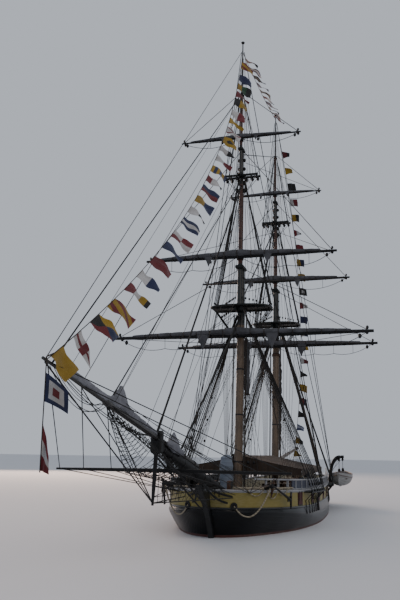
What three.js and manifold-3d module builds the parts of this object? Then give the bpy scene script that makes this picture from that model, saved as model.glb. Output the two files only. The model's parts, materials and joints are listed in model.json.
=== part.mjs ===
// A two-masted square-rigged brig, sails furled and dressed with flags, as a model at half the real size.
// Units are millimetres. +X is forward, +Y is port, +Z is up. The origin is amidships on the waterline.
import * as THREE from "three";
import { mergeVertices } from "three/addons/utils/BufferGeometryUtils.js";
import Module from "manifold-3d";

const wasm = await Module();
wasm.setup();

// Every size below is in metres of the real ship, and M turns it to millimetres of the half-size model.
const M = 500;
const GAP = 0.3 / M; // left between pieces that rest on each other
const FIT = GAP * 2; // how much larger a socket is than the spar in it
const CLEAR = 6 / M; // left round a piece that turns

// Hull
const BEAM_KEEL = 0.15; // half the keel's width
const KEEL_Z = -3.2;
const DECK_Z = 1.38; // amidships
const SHEER = 0.3; // rise of the deck at the ends
const RAIL_HEIGHT = 1.0; // of the bulwark over the deck
const WALL = 0.12; // bulwark thickness
const PLANK = 0.08; // deck thickness
const CAP = 0.09; // rail cap thickness, and its overhang
const BULGE = 0.1; // how much wider the wale is than the deck's edge
const UPPER_RAIL = 0.6; // height of the upper rail over the main rail
const HALF_LENGTH = 17;

// Deck plan, port side, from the transom to the stem
const PLAN = [
  // x, half breadth
  [-18.3, 2.7],
  [-17.0, 2.9],
  [-14.5, 3.2],
  [-12.0, 3.5],
  [-8.0, 3.95],
  [-4.0, 4.3],
  [0.0, 4.5],
  [4.0, 4.6],
  [8.0, 4.55],
  [10.8, 4.25],
  [13.0, 3.7],
  [14.6, 3.05],
  [15.8, 2.35],
  [16.7, 1.55],
  [17.2, 0.85],
  [17.45, 0],
];

// Hull sections. fullness is the exponent of the section's curve: over 2 is boxy, 1 is a straight V.
const SECTIONS = [
  // x, keel z, z of the widest point, fullness
  [-18.3, 1.2, 1.45, 1.8],
  [-17.2, 0.85, 1.4, 1.2],
  [-16.35, 0.5, 1.35, 0.8],
  [-16.1, KEEL_Z, 1.3, 0.42],
  [-14.5, KEEL_Z, 1.2, 0.68],
  [-12.0, KEEL_Z, 1.1, 1.0],
  [-8.0, KEEL_Z, 0.8, 1.4],
  [-4.0, KEEL_Z, 0.5, 1.9],
  [0.0, KEEL_Z, 0.4, 2.0],
  [4.0, KEEL_Z, 0.5, 1.9],
  [8.0, KEEL_Z, 0.8, 1.45],
  [10.8, KEEL_Z, 1.0, 1.27],
  [13.0, -3.05, 1.2, 1.15],
  [14.6, -2.5, 1.3, 1.08],
  [15.8, -1.35, 1.35, 1.1],
  [16.7, 0.35, 1.4, 1.2],
  [17.2, 1.15, 1.5, 1.4],
  [17.42, 1.45, 1.6, 1.4],
];
const SECTION_STEPS = [0, 0.1, 0.24, 0.42, 0.62, 0.82, 1];

// Masts. Heights are of points on the mast, and rake is its lean aft for each metre of height.
const RAKE_FROM = 3.5;
const MASTS = {
  fore: {
    x: 10,
    rake: 0.064,
    radius: 0.28,
    top: 14.7,
    topHalf: 2.1,
    cap: 17.45,
    crosstrees: 24.6,
    topmastCap: 26.5,
    hounds: 31.2,
    truck: 35.65,
    channel: [10.2, 5.4],
  },
  main: {
    x: -3.96,
    rake: 0.078,
    radius: 0.31,
    top: 16.0,
    topHalf: 2.05,
    cap: 18.95,
    crosstrees: 25.6,
    topmastCap: 27.4,
    hounds: 32.2,
    truck: 36.6,
    channel: [-3.7, -8.0],
  },
};
const TOPMAST_FORWARD = 0.56; // of the lower mast's axis
const TOPGALLANT_FORWARD = 0.42; // of the topmast's axis
const TOPMAST_RADIUS = 0.17;
const TOPGALLANT_RADIUS = 0.12;

// Yards, the same three on each mast
const YARDS = [
  // name, spar that carries it, radius amidships, heights, half lengths
  ["course", "lower", 0.2, { fore: 12.61, main: 13.95 }, { fore: 9.06, main: 8.79 }],
  ["topsail", "topmast", 0.16, { fore: 18.2, main: 19.8 }, { fore: 6.82, main: 6.63 }],
  ["topgallant", "topgallant", 0.1, { fore: 27.3, main: 28.15 }, { fore: 4.46, main: 4.29 }],
].map(([name, on, radius, z, half]) => ({ name, on, radius, z, half }));
const YARD_FORWARD = { lower: 0.9, topmast: 0.62, topgallant: 0.4 };

// Bowsprit and jibboom
const BOWSPRIT = { heel: [14.2, 2.36], cap: [26.3, 4.95], radius: 0.29 };
const JIBBOOM = { heel: [20.0, 3.98], step: [32.2, 6.43], tip: [37.5, 7.5], radius: 0.15 };

const SHROUD = 0.035; // radius
const BACKSTAY = 0.03;
const STAY = 0.05;
const LINE = 0.025;

// Colours
const stuff = (color, roughness, metalness = 0) =>
  new THREE.MeshStandardMaterial({ color, roughness, metalness });
const BLACK_PAINT = stuff(0x1b1d20, 0.45);
const CREAM_PAINT = stuff(0xb5a977, 0.6);
const COPPER = stuff(0x6b3f33, 0.5);
const DECK_WOOD = stuff(0xa08a66, 0.75);
const BUFF_PAINT = stuff(0xb09672, 0.5);
const BROWN_WOOD = stuff(0x7a5a40, 0.5);
const DARK_GREEN = stuff(0x2a3230, 0.5);
const TARRED_ROPE = stuff(0x1d1b1a, 0.8);
const CANVAS = stuff(0x8d8f90, 0.9);
const BROWN_CANVAS = stuff(0x6d5f52, 0.9);
const BOAT_PAINT = stuff(0xcfc9bd, 0.5);
const BUNTING = stuff(0xb04038, 0.8);

const ship = new THREE.Group();

// Geometry helpers, all in ship metres

const at = (x, y, z) => new THREE.Vector3(x * M, y * M, z * M);

// A closed solid from a three.js geometry, turned to face outwards.
function solid(geometry) {
  const bare = new THREE.BufferGeometry();
  bare.setAttribute("position", geometry.getAttribute("position"));
  if (geometry.index) bare.setIndex(geometry.index);
  const merged = mergeVertices(bare, 1e-3);
  const corners = merged.index.array;
  const triVerts = [];
  for (let i = 0; i < corners.length; i += 3) {
    const [a, b, c] = corners.slice(i, i + 3);
    if (a !== b && b !== c && c !== a) triVerts.push(a, b, c);
  }
  const make = (list) =>
    new wasm.Manifold(
      new wasm.Mesh({
        numProp: 3,
        vertProperties: new Float32Array(merged.attributes.position.array),
        triVerts: new Uint32Array(list),
      }),
    );
  const made = make(triVerts);
  if (made.volume() > 0) return made;
  for (let i = 0; i < triVerts.length; i += 3)
    [triVerts[i + 1], triVerts[i + 2]] = [triVerts[i + 2], triVerts[i + 1]];
  return make(triVerts);
}

const joined = (pieces) => pieces.reduce((whole, piece) => whole.add(piece));

const without = (body, cutters) => cutters.reduce((whole, cutter) => whole.subtract(cutter), body);

const moved = (piece, x, y, z) => piece.translate([x * M, y * M, z * M]);

// Adds a solid to the ship as a named mesh.
function node(name, made, material) {
  const mesh = made.getMesh();
  const geometry = new THREE.BufferGeometry();
  geometry.setAttribute("position", new THREE.BufferAttribute(new Float32Array(mesh.vertProperties), 3));
  geometry.setIndex(new THREE.BufferAttribute(new Uint32Array(mesh.triVerts), 1));
  geometry.computeVertexNormals();
  const piece = new THREE.Mesh(geometry, material);
  piece.name = name;
  ship.add(piece);
}

// A box between two corners.
function box(x0, x1, y0, y1, z0, z1) {
  const geometry = new THREE.BoxGeometry((x1 - x0) * M, (y1 - y0) * M, (z1 - z0) * M);
  geometry.translate(((x0 + x1) / 2) * M, ((y0 + y1) / 2) * M, ((z0 + z1) / 2) * M);
  return solid(geometry);
}

// Turns a geometry that stands along +Y so that it runs from a to b.
function aim(geometry, a, b) {
  const direction = b.clone().sub(a).normalize();
  geometry.applyQuaternion(new THREE.Quaternion().setFromUnitVectors(new THREE.Vector3(0, 1, 0), direction));
  geometry.translate(a.x, a.y, a.z);
  return geometry;
}

// A round spar from a to b. radii is a list of [share of the length, radius]. grow adds that much all over.
function spar(a, b, radii, sides = 12, grow = 0) {
  const ahead = b.clone().sub(a).setLength(Math.max(grow * M, 1e-6));
  const [start, end] = [a.clone().sub(ahead), b.clone().add(ahead)];
  const length = start.distanceTo(end);
  const profile = [new THREE.Vector2(0, 0)];
  for (const [share, radius] of radii) profile.push(new THREE.Vector2((radius + grow) * M, share * length));
  profile.push(new THREE.Vector2(0, length));
  return solid(aim(new THREE.LatheGeometry(profile, sides), start, end));
}

const rope = (a, b, radius, sides = 6) => spar(a, b, [[0, radius], [1, radius]], sides);

// A ring round the line from a to b. Its flats face the corners of a spar with as many sides.
function collar(a, b, inner, outer, sides = 12) {
  const length = a.distanceTo(b);
  const profile = [
    [inner, 0],
    [outer, 0],
    [outer, length / M],
    [inner, length / M],
    [inner, 0],
  ].map(([r, y]) => new THREE.Vector2(r * M, y * M));
  return solid(aim(new THREE.LatheGeometry(profile, sides, Math.PI / sides), a, b));
}

// The radius of a hole with so many sides that a round pin of this radius turns in.
const turningHole = (radius, sides = 12) => (radius + GAP) / Math.cos(Math.PI / sides);

// A hole from a to b for a round pin that turns in it, with its flats facing the pin's corners.
function pinHole(a, b, radius, sides = 12) {
  const length = a.distanceTo(b);
  const wide = turningHole(radius, sides) * M;
  const profile = [
    [0, 0],
    [wide, 0],
    [wide, length],
    [0, length],
  ].map(([r, y]) => new THREE.Vector2(r, y));
  return solid(aim(new THREE.LatheGeometry(profile, sides, Math.PI / sides), a, b));
}

// A skin over a row of rings with the same number of points, closed at both ends or joined end to start.
function loft(rings, endToStart = false) {
  const count = rings[0].length;
  const positions = rings.flat().flatMap((p) => [p.x, p.y, p.z]);
  const index = [];
  const rows = endToStart ? rings.length : rings.length - 1;
  for (let i = 0; i < rows; i++)
    for (let j = 0; j < count; j++) {
      const a = i * count + j;
      const b = i * count + ((j + 1) % count);
      const c = ((i + 1) % rings.length) * count + j;
      const d = ((i + 1) % rings.length) * count + ((j + 1) % count);
      index.push(a, b, d, a, d, c);
    }
  if (!endToStart) {
    for (const row of [0, rings.length - 1]) {
      const ring = rings[row];
      const normal = new THREE.Vector3();
      for (let j = 0; j < count; j++) normal.add(ring[j].clone().cross(ring[(j + 1) % count]));
      const flat = [0, 1, 2].filter((axis) => axis !== mainAxis(normal));
      const outline = ring.map((p) => new THREE.Vector2(p.getComponent(flat[0]), p.getComponent(flat[1])));
      const turned = THREE.ShapeUtils.isClockWise(outline);
      const handed = turned ? [...outline].reverse() : outline;
      const place = (k) => row * count + (turned ? count - 1 - k : k);
      for (const face of THREE.ShapeUtils.triangulateShape(handed, [])) {
        const [p, q, r] = face.map(place);
        const keepsTurn = !turned === (row !== 0);
        index.push(...(keepsTurn ? [p, q, r] : [p, r, q]));
      }
    }
  }
  const geometry = new THREE.BufferGeometry();
  geometry.setAttribute("position", new THREE.Float32BufferAttribute(positions, 3));
  geometry.setIndex(index);
  return solid(geometry);
}

function mainAxis(v) {
  const sizes = [Math.abs(v.x), Math.abs(v.y), Math.abs(v.z)];
  return sizes.indexOf(Math.max(...sizes));
}

const span = (a, b) => [Math.min(a, b), Math.max(a, b)];
const mirrored = (points) => points.map((p) => new THREE.Vector3(p.x, -p.y, p.z));

const sides = [
  ["port", 1],
  ["starboard", -1],
];

// Curves of the ship

const deckAt = (x) => DECK_Z + SHEER * (x / HALF_LENGTH) ** 2;
const railAt = (x) => deckAt(x) + RAIL_HEIGHT;

// The second column of a table of [x, value] rows at x, on straight lines between the rows.
function halfAt(table, x) {
  for (let i = 1; i < table.length; i++)
    if (x <= table[i][0]) {
      const [x0, y0] = table[i - 1];
      const [x1, y1] = table[i];
      return y0 + ((y1 - y0) * (x - x0)) / (x1 - x0);
    }
  return table[table.length - 1][1];
}
const RAIL_TOP = PLAN.map(([x]) => [x, railAt(x)]);
const railTop = (x) => halfAt(RAIL_TOP, x);
const DECK_TOP = PLAN.map(([x]) => [x, deckAt(x)]);

// The plan's outward direction at each row.
const PLAN_NORMALS = PLAN.map(([x, half], i) => {
  const [xa, ya] = PLAN[Math.max(i - 1, 0)];
  const [xb, yb] = PLAN[i + 1] ?? [x, -half - 1];
  const along = new THREE.Vector2(xb - xa, yb - ya);
  if (i === PLAN.length - 1) return new THREE.Vector2(1, 0);
  const out = new THREE.Vector2(-along.y, along.x).normalize();
  return i === 0 ? new THREE.Vector2(-1, 1) : out;
});
const INNER_PLAN = PLAN.map(([x, half], i) => {
  const out = PLAN_NORMALS[i];
  return [x - out.x * WALL, half - out.y * WALL];
});

function mastPoint(mast, z, forward = 0) {
  const { x, rake } = MASTS[mast];
  return at(x - rake * (z - RAKE_FROM) + forward, 0, z);
}

const inPlane = ([x, z], y = 0) => at(x, y, z);
function bowspritLine(grow = 0) {
  const { heel, cap, radius } = BOWSPRIT;
  const taper = [
    [0, radius * 0.95],
    [0.3, radius],
    [1, radius * 0.68],
  ];
  return spar(inPlane(heel), inPlane(cap), taper, 12, grow);
}

// Hull

function hullSection([x, keelZ, wideZ, fullness], i) {
  const half = i === SECTIONS.length - 1 ? 0.3 : halfAt(PLAN, x);
  const wide = half + BULGE;
  const port = SECTION_STEPS.map((step) => {
    const swell = (1 - (1 - step) ** fullness) ** (1 / fullness);
    const y = step === 0 ? BEAM_KEEL : BEAM_KEEL + (wide - BEAM_KEEL) * swell;
    return at(x, y, keelZ + (wideZ - keelZ) * step);
  });
  port.push(at(x, half, deckAt(x) - PLANK - GAP));
  return [...port, ...mirrored(port).reverse()];
}

const RUDDER_AXIS = { foot: [-16.72, -3.25], head: [-17.05, 1.6] };
const RUDDER_RADIUS = 0.16;
const rudderPoint = (z) => {
  const { foot, head } = RUDDER_AXIS;
  return at(foot[0] + ((z - foot[1]) * (head[0] - foot[0])) / (head[1] - foot[1]), 0, z);
};
const TRUNK = rope(rudderPoint(0.2), rudderPoint(3), RUDDER_RADIUS + CLEAR * 2, 16);

node("hull", without(loft(SECTIONS.map(hullSection)), [TRUNK]), BLACK_PAINT);

// Keel, stem and sternpost in one plane, outside the hull's centreline
const KEEL_DEPTH = 0.4;
const KEEL_HALF = 0.14;
function keelShape(grow = 0) {
  const inner = SECTIONS.filter(([x]) => x > -16.4).map(([x, z]) => [x + (x > 16 ? FIT : 0), z - FIT]);
  inner[0] = [inner[0][0] - GAP, inner[0][1]];
  inner[1] = [inner[1][0] - GAP, inner[1][1]];
  const outer = [
    [17.62, 1.15],
    [17.1, 0.35],
    [16.45, -1.1],
    [15.4, -2.45],
    [13.6, KEEL_Z - KEEL_DEPTH],
  ];
  const sternpost = [-3.6, 0.45].map((z) => [rudderPoint(z).x / M + RUDDER_RADIUS + CLEAR, z]);
  const head = [
    [17.48, 1.58],
    [17.76, 2.45],
    [18.9, 2.72],
    [19.55, 3.0],
    [19.62, 2.72],
    [18.85, 2.3],
    [18.25, 1.85],
  ];
  const points = [...inner, ...head, ...outer, ...sternpost];
  const outline = points.map(([x, z]) => new THREE.Vector2(x * M, z * M));
  const half = (KEEL_HALF + grow) * M;
  const geometry = new THREE.ExtrudeGeometry(new THREE.Shape(outline), {
    depth: 2 * half,
    bevelEnabled: false,
    steps: 1,
  });
  geometry.rotateX(Math.PI / 2);
  geometry.translate(0, half, 0);
  return solid(geometry);
}
node("keel", keelShape(), COPPER);

// Bulwark with its rail cap
function bulwarkRow(i, side) {
  const [x, half] = PLAN[i];
  const out = PLAN_NORMALS[i];
  const base = deckAt(x) - PLANK;
  const rail = railAt(x);
  const flare = x > 15 ? (0.3 * (x - 15)) / 2.45 : x < -17.5 ? -0.4 : 0;
  const section = [
    [0, base, 0],
    [0, rail - CAP, flare],
    [CAP, rail - CAP, flare],
    [CAP, rail, flare],
    [-WALL - CAP, rail, flare],
    [-WALL - CAP, rail - CAP, flare],
    [-WALL, rail - CAP, flare],
    [-WALL, base, 0],
  ];
  return section.map(([offset, z, push]) => at(x + out.x * offset + push, side * (half + out.y * offset), z));
}

function bulwark() {
  const rows = PLAN.map((_, i) => bulwarkRow(i, 1));
  const back = PLAN.slice(0, -1)
    .map((_, i) => bulwarkRow(i, -1))
    .reverse();
  return loft([...rows, ...back], true);
}
node("bulwark", bulwark(), CREAM_PAINT);

// Deck
function deckRing([x, half]) {
  const y = Math.max(half - GAP, 0.04);
  const top = deckAt(x);
  return [at(x, y, top - PLANK), at(x, y, top), at(x, -y, top), at(x, -y, top - PLANK)];
}
const COAMINGS = [
  // x from, x to, half width, height over the deck
  [6.4, 8.0, 0.75, 0.4],
  [1.2, 4.2, 1.1, 0.42],
  [-2.9, -1.2, 0.6, 0.95],
  [-8.2, -5.9, 0.7, 0.75],
  [-11.9, -10.2, 0.65, 1.0],
  [11.3, 12.5, 0.6, 0.8],
];
const SCUTTLE_TOP = deckAt(COAMINGS[5][1]) + COAMINGS[5][3];
const WHEEL = { x: -14.3, height: 1.0, radius: 0.62, axle: 0.045 };
function deckSlab() {
  const ends = INNER_PLAN.slice(1, -1);
  const first = [-18.3 + WALL + 0.02, INNER_PLAN[0][1]];
  return loft([first, ...ends, [17.26, 0.12]].map(deckRing));
}
const stockHole = pinHole(rudderPoint(0.2), rudderPoint(3), RUDDER_RADIUS);
const coveredDeck = () => moved(deckSlab(), 0, 0, GAP);

// Coamings, bowsprit bitts and wheel stand, on the thick planks along the deck's middle
const MIDDLE_PLANKS = { half: 0.5, thickness: 0.05, stations: 24, from: -14.9, to: 14.75 };
const BITTS = { inside: 0.36, outside: 0.6, over: 0.7, length: 0.6, crosspiece: [0.05, 0.3, 0.5] };
const WHEEL_POSTS = { half: 0.14, thickness: 0.15, from: 0.3, over: 0.1 };
function middlePlanks() {
  const { half, thickness, stations, from, to } = MIDDLE_PLANKS;
  const rings = [];
  for (let i = 0; i <= stations; i++) {
    const x = from + ((to - from) * i) / stations;
    const [low, high] = [halfAt(DECK_TOP, x) - PLANK / 2, halfAt(DECK_TOP, x) + thickness];
    rings.push([at(x, half, low), at(x, half, high), at(x, -half, high), at(x, -half, low)]);
  }
  return loft(rings);
}
function deckFittings() {
  const low = (x) => halfAt(DECK_TOP, x) - PLANK / 2;
  const pieces = COAMINGS.map(([x0, x1, half, height]) =>
    box(x0, x1, -half, half, low((x0 + x1) / 2), deckAt(x1) + height),
  );
  const [x, z] = BOWSPRIT.heel;
  for (const [, side] of sides) {
    const posts = span(side * BITTS.inside, side * BITTS.outside);
    pieces.push(box(x - 0.1, x - 0.1 + BITTS.length, ...posts, low(x), z + BITTS.over));
  }
  const [aft, forward, reach] = BITTS.crosspiece;
  pieces.push(box(x + aft, x + forward, -reach, reach, low(x), z));
  const axle = deckAt(WHEEL.x) + WHEEL.height;
  const { half, thickness, from, over } = WHEEL_POSTS;
  for (const start of [WHEEL.x - from - thickness, WHEEL.x + from])
    pieces.push(box(start, start + thickness, -half, half, low(WHEEL.x), axle + over));
  const axleHole = pinHole(at(WHEEL.x - 0.5, 0, axle), at(WHEEL.x + 0.5, 0, axle), WHEEL.axle);
  const masts = Object.keys(MASTS).map((name) => lowerPole(name, FIT));
  return without(joined([middlePlanks(), ...pieces]), [axleHole, bowspritLine(FIT), coveredDeck(), ...masts]);
}
node("deck", without(deckSlab(), [stockHole]), DECK_WOOD);

// Upper rail on stanchions along each side, with taller posts for the awning
const STANCHION_X = [15, 12.8, 10.9, 8.9, 6.7, 4.3, 1.9, -0.5, -2.9, -5.2, -7.0, -14.2, -16, -17.6];
const AWNING = { from: 9.3, to: -3.3, ridge: 4.57, eave: 3.75, hem: 3.3, inset: 0.3, cloth: 0.03 };
const AWNING_POSTS = [8.9, 4.3, -0.5, -2.9];
const BOARDS = { from: 12.8, to: -7, under: 0.06, half: 0.025 };
const railLine = (x, inward = WALL / 2) => halfAt(PLAN, x) - inward;

function upperRail(side) {
  const xs = PLAN.map(([x]) => x).filter((x) => x > -18 && x < 15.9);
  const rings = [-18.2, ...xs].map((x) => {
    const y = railLine(x);
    const z = railAt(x) + UPPER_RAIL;
    return [
      [y - 0.08, z - 0.05],
      [y + 0.08, z - 0.05],
      [y + 0.08, z + 0.05],
      [y - 0.08, z + 0.05],
    ].map(([yy, zz]) => at(x, side * yy, zz));
  });
  const pieces = [loft(rings)];
  for (const x of STANCHION_X) {
    const y = railLine(x) * side;
    pieces.push(box(x - 0.04, x + 0.04, y - 0.04, y + 0.04, railTop(x) + 0.002, railAt(x) + UPPER_RAIL));
  }
  const boards = PLAN.map(([x]) => x).filter((x) => x > BOARDS.to && x < BOARDS.from);
  pieces.push(
    loft(
      [BOARDS.to, ...boards, BOARDS.from].map((x) => {
        const y = railLine(x);
        const [low, high] = [railTop(x) + BOARDS.under, railAt(x) + UPPER_RAIL];
        return [
          [y - BOARDS.half, low],
          [y + BOARDS.half, low],
          [y + BOARDS.half, high],
          [y - BOARDS.half, high],
        ].map(([yy, zz]) => at(x, side * yy, zz));
      }),
    ),
  );
  for (const x of AWNING_POSTS) {
    const y = awningHalf(x) * side;
    const low = railAt(x) + UPPER_RAIL - 0.04;
    pieces.push(box(x - 0.03, x + 0.03, y - 0.05, y + 0.05, low, AWNING.hem - GAP));
    pieces.push(box(x - 0.03, x + 0.03, ...span(y, railLine(x) * side), low, low + 0.07));
  }
  return joined(pieces);
}
const awningHalf = (x) => railLine(x) - AWNING.inset;
for (const [name, side] of sides) node("upper_rail_" + name, upperRail(side), BLACK_PAINT);

// Awning, a ridged cloth between the masts with a hem along each side
function awning() {
  const rings = [AWNING.from, 6, 2, -1, AWNING.to].map((x) => {
    const half = awningHalf(x);
    const t = AWNING.cloth;
    return [
      [-half, AWNING.hem],
      [-half, AWNING.eave],
      [0, AWNING.ridge],
      [half, AWNING.eave],
      [half, AWNING.hem],
      [half - t, AWNING.hem],
      [half - t, AWNING.eave - t],
      [0, AWNING.ridge - t],
      [-half + t, AWNING.eave - t],
      [-half + t, AWNING.hem],
    ].map(([y, z]) => at(x, y, z));
  });
  const front = rings[0].slice(0, 5);
  const inside = (p) => p.clone().setX(p.x - AWNING.cloth * M);
  return loft(rings).add(loft([front.map(inside), front]));
}
node("awning", awning(), BROWN_CANVAS);

// Masts

const footOf = (mast) => deckAt(mast.x) - 0.05;
const houndsOf = (mast) => mast.top - 0.35;
function lowerRadiusAt(mast, z) {
  return mast.radius * (1 - (0.12 * (z - footOf(mast))) / (houndsOf(mast) - footOf(mast)));
}

function lowerPole(name, grow = 0) {
  const mast = MASTS[name];
  const taper = [
    [0, mast.radius],
    [1, mast.radius * 0.88],
  ];
  return spar(mastPoint(name, footOf(mast)), mastPoint(name, houndsOf(mast)), taper, 12, grow);
}

const MASTHEAD = { below: 0.4, heel: 0.26, head: 0.22 };
const TRESTLE = { middle: 0.21, half: 0.09, aft: 0.55, forward: 1.0, low: 0.35, high: 0.06 };
const MAST_CAP = { beyond: 0.32, half: 0.3, low: 0.02, high: 0.22 };
function masthead(name, grow = 0) {
  const mast = MASTS[name];
  const taper = [
    [0, MASTHEAD.heel],
    [1, MASTHEAD.head],
  ];
  return spar(mastPoint(name, mast.top - MASTHEAD.below), mastPoint(name, mast.cap), taper, 12, grow);
}

function lowerMast(name) {
  const mast = MASTS[name];
  const { middle, half, aft, forward, low, high } = TRESTLE;
  const t = mastPoint(name, mast.top - (low + high) / 2).x / M;
  const trestle = joined(
    sides.map(([, side]) =>
      box(t - aft, t + forward, side * middle - half, side * middle + half, mast.top - low, mast.top - high),
    ),
  );
  const c = mastPoint(name, mast.cap).x / M;
  const ends = [c - MAST_CAP.beyond, c + TOPMAST_FORWARD + MAST_CAP.beyond];
  const heights = [mast.cap - MAST_CAP.low, mast.cap + MAST_CAP.high];
  const capBlock = box(...ends, -MAST_CAP.half, MAST_CAP.half, ...heights);
  const pieces = [lowerPole(name), masthead(name), trestle, capBlock];
  if (name === "main") pieces.push(boomSaddle());
  return without(joined(pieces), [topmastLine(name, FIT), moved(deckSlab(), 0, 0, GAP)]);
}

// Ring on the mast that the boom's jaws rest on
function boomSaddle() {
  const radius = lowerRadiusAt(MASTS.main, BOOM.z);
  const top = BOOM.z - PARREL_HALF - GAP;
  return collar(mastPoint("main", top - 0.14), mastPoint("main", top), radius * 0.9, radius + 0.13);
}

const topmastHeel = (mast) => mast.top - 0.3;
function topmastRadiusAt(mast, z) {
  const share = (z - topmastHeel(mast)) / (mast.topmastCap - topmastHeel(mast));
  return TOPMAST_RADIUS * (1 - 0.24 * share);
}

function topmastLine(name, grow = 0) {
  const mast = MASTS[name];
  const low = topmastHeel(mast);
  const high = mast.topmastCap;
  const taper = [
    [0, TOPMAST_RADIUS],
    [1, topmastRadiusAt(mast, high)],
  ];
  return spar(mastPoint(name, low, TOPMAST_FORWARD), mastPoint(name, high, TOPMAST_FORWARD), taper, 12, grow);
}

const TOPGALLANT_LINE = TOPMAST_FORWARD + TOPGALLANT_FORWARD;
const topgallantHeel = (mast) => mast.crosstrees - 0.15;
function topgallantRadiusAt(mast, z) {
  return TOPGALLANT_RADIUS * (1 - (0.2 * (z - topgallantHeel(mast))) / (mast.hounds - topgallantHeel(mast)));
}

function topgallantLine(name, grow = 0) {
  const mast = MASTS[name];
  const end = mast.truck - 0.12;
  const low = mastPoint(name, topgallantHeel(mast), TOPGALLANT_LINE);
  const high = mastPoint(name, end, TOPGALLANT_LINE);
  const share = (mast.hounds - topgallantHeel(mast)) / (end - topgallantHeel(mast));
  const taper = [
    [0, TOPGALLANT_RADIUS],
    [share, TOPGALLANT_RADIUS * 0.8],
    [share + 0.01, TOPGALLANT_RADIUS * 0.6],
    [1, TOPGALLANT_RADIUS * 0.35],
  ];
  return spar(low, high, taper, 12, grow);
}

// Topmast with the crosstrees and the cap at its head
const CROSSTREES = [
  // x from, x to, y from, y to, z from, z to, all from the topmast's axis at the crosstrees
  [-0.45, 0.75, -0.2, -0.08, -0.18, 0],
  [-0.45, 0.75, 0.08, 0.2, -0.18, 0],
  [-0.32, -0.2, -1.35, 1.35, -0.1, 0.02],
  [0.2, 0.28, -1.25, 1.25, -0.1, 0.02],
];
const TOPMAST_CAP = { beyond: 0.2, half: 0.2, low: 0.02, high: 0.16 };
function topmast(name) {
  const mast = MASTS[name];
  const c = mastPoint(name, mast.crosstrees, TOPMAST_FORWARD).x / M;
  const k = mastPoint(name, mast.topmastCap, TOPMAST_FORWARD).x / M;
  const z = mast.crosstrees;
  const trees = CROSSTREES.map(([x0, x1, y0, y1, z0, z1]) => box(c + x0, c + x1, y0, y1, z + z0, z + z1));
  const ends = [k - TOPMAST_CAP.beyond, k + TOPGALLANT_FORWARD + TOPMAST_CAP.beyond];
  const heights = [mast.topmastCap - TOPMAST_CAP.low, mast.topmastCap + TOPMAST_CAP.high];
  const cap = box(...ends, -TOPMAST_CAP.half, TOPMAST_CAP.half, ...heights);
  return without(joined([topmastLine(name), ...trees, cap]), [topgallantLine(name, FIT)]);
}

const TRUCK = { height: 0.14, radii: [[0, 0.12], [0.6, 0.14], [1, 0.1]] };
function topgallantMast(name) {
  const mast = MASTS[name];
  const top = mastPoint(name, mast.truck, TOPGALLANT_LINE);
  const truck = spar(mastPoint(name, mast.truck - TRUCK.height, TOPGALLANT_LINE), top, TRUCK.radii);
  return joined([topgallantLine(name), truck]);
}

// Fighting top: a platform on the hounds, with the topmast shrouds and the futtock shrouds at its edge
const TOP_PLATFORM = { forward: 1.35, aft: 1.15, thickness: 0.1, below: 0.06, inset: 0.08 };
const TOPMAST_SHROUDS = { count: 4, first: 0.6, apart: 0.34, head: 0.3 };
const FUTTOCK = { drop: 1.55, inboard: 0.92, aft: 0.08 };
function fightingTop(name) {
  const mast = MASTS[name];
  const c = mastPoint(name, mast.top).x / M;
  const { forward, aft, thickness } = TOP_PLATFORM;
  const half = mast.topHalf;
  const outline = [
    [-aft, -half],
    [-aft, half],
    [0.55, half],
    [1.1, half * 0.72],
    [forward, half * 0.35],
    [forward, -half * 0.35],
    [1.1, -half * 0.72],
    [0.55, -half],
  ].map(([x, y]) => new THREE.Vector2((c + x) * M, y * M));
  const plate = new THREE.ExtrudeGeometry(new THREE.Shape(outline), {
    depth: thickness * M,
    bevelEnabled: false,
    steps: 1,
  });
  plate.translate(0, 0, (mast.top - TOP_PLATFORM.below + GAP) * M);
  const pieces = [solid(plate)];
  const t = c + TOPMAST_FORWARD;
  const { count, first, apart } = TOPMAST_SHROUDS;
  for (const [, side] of sides)
    for (let i = 0; i < count; i++) {
      const x = t - first - i * apart;
      const y = side * (half - TOP_PLATFORM.inset);
      const head = mastPoint(name, mast.crosstrees - TOPMAST_SHROUDS.head, TOPMAST_FORWARD + 0.08 - i * 0.05);
      head.y = side * (TOPMAST_RADIUS + 0.05) * M;
      pieces.push(rope(at(x, y, mast.top - 0.05), head, BACKSTAY, 4));
      const low = at(x - FUTTOCK.aft, side * FUTTOCK.inboard, mast.top - FUTTOCK.drop);
      pieces.push(rope(at(x, y, mast.top), low, BACKSTAY, 4));
    }
  return without(joined(pieces), [masthead(name, FIT), topmastLine(name, FIT)]);
}

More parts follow.
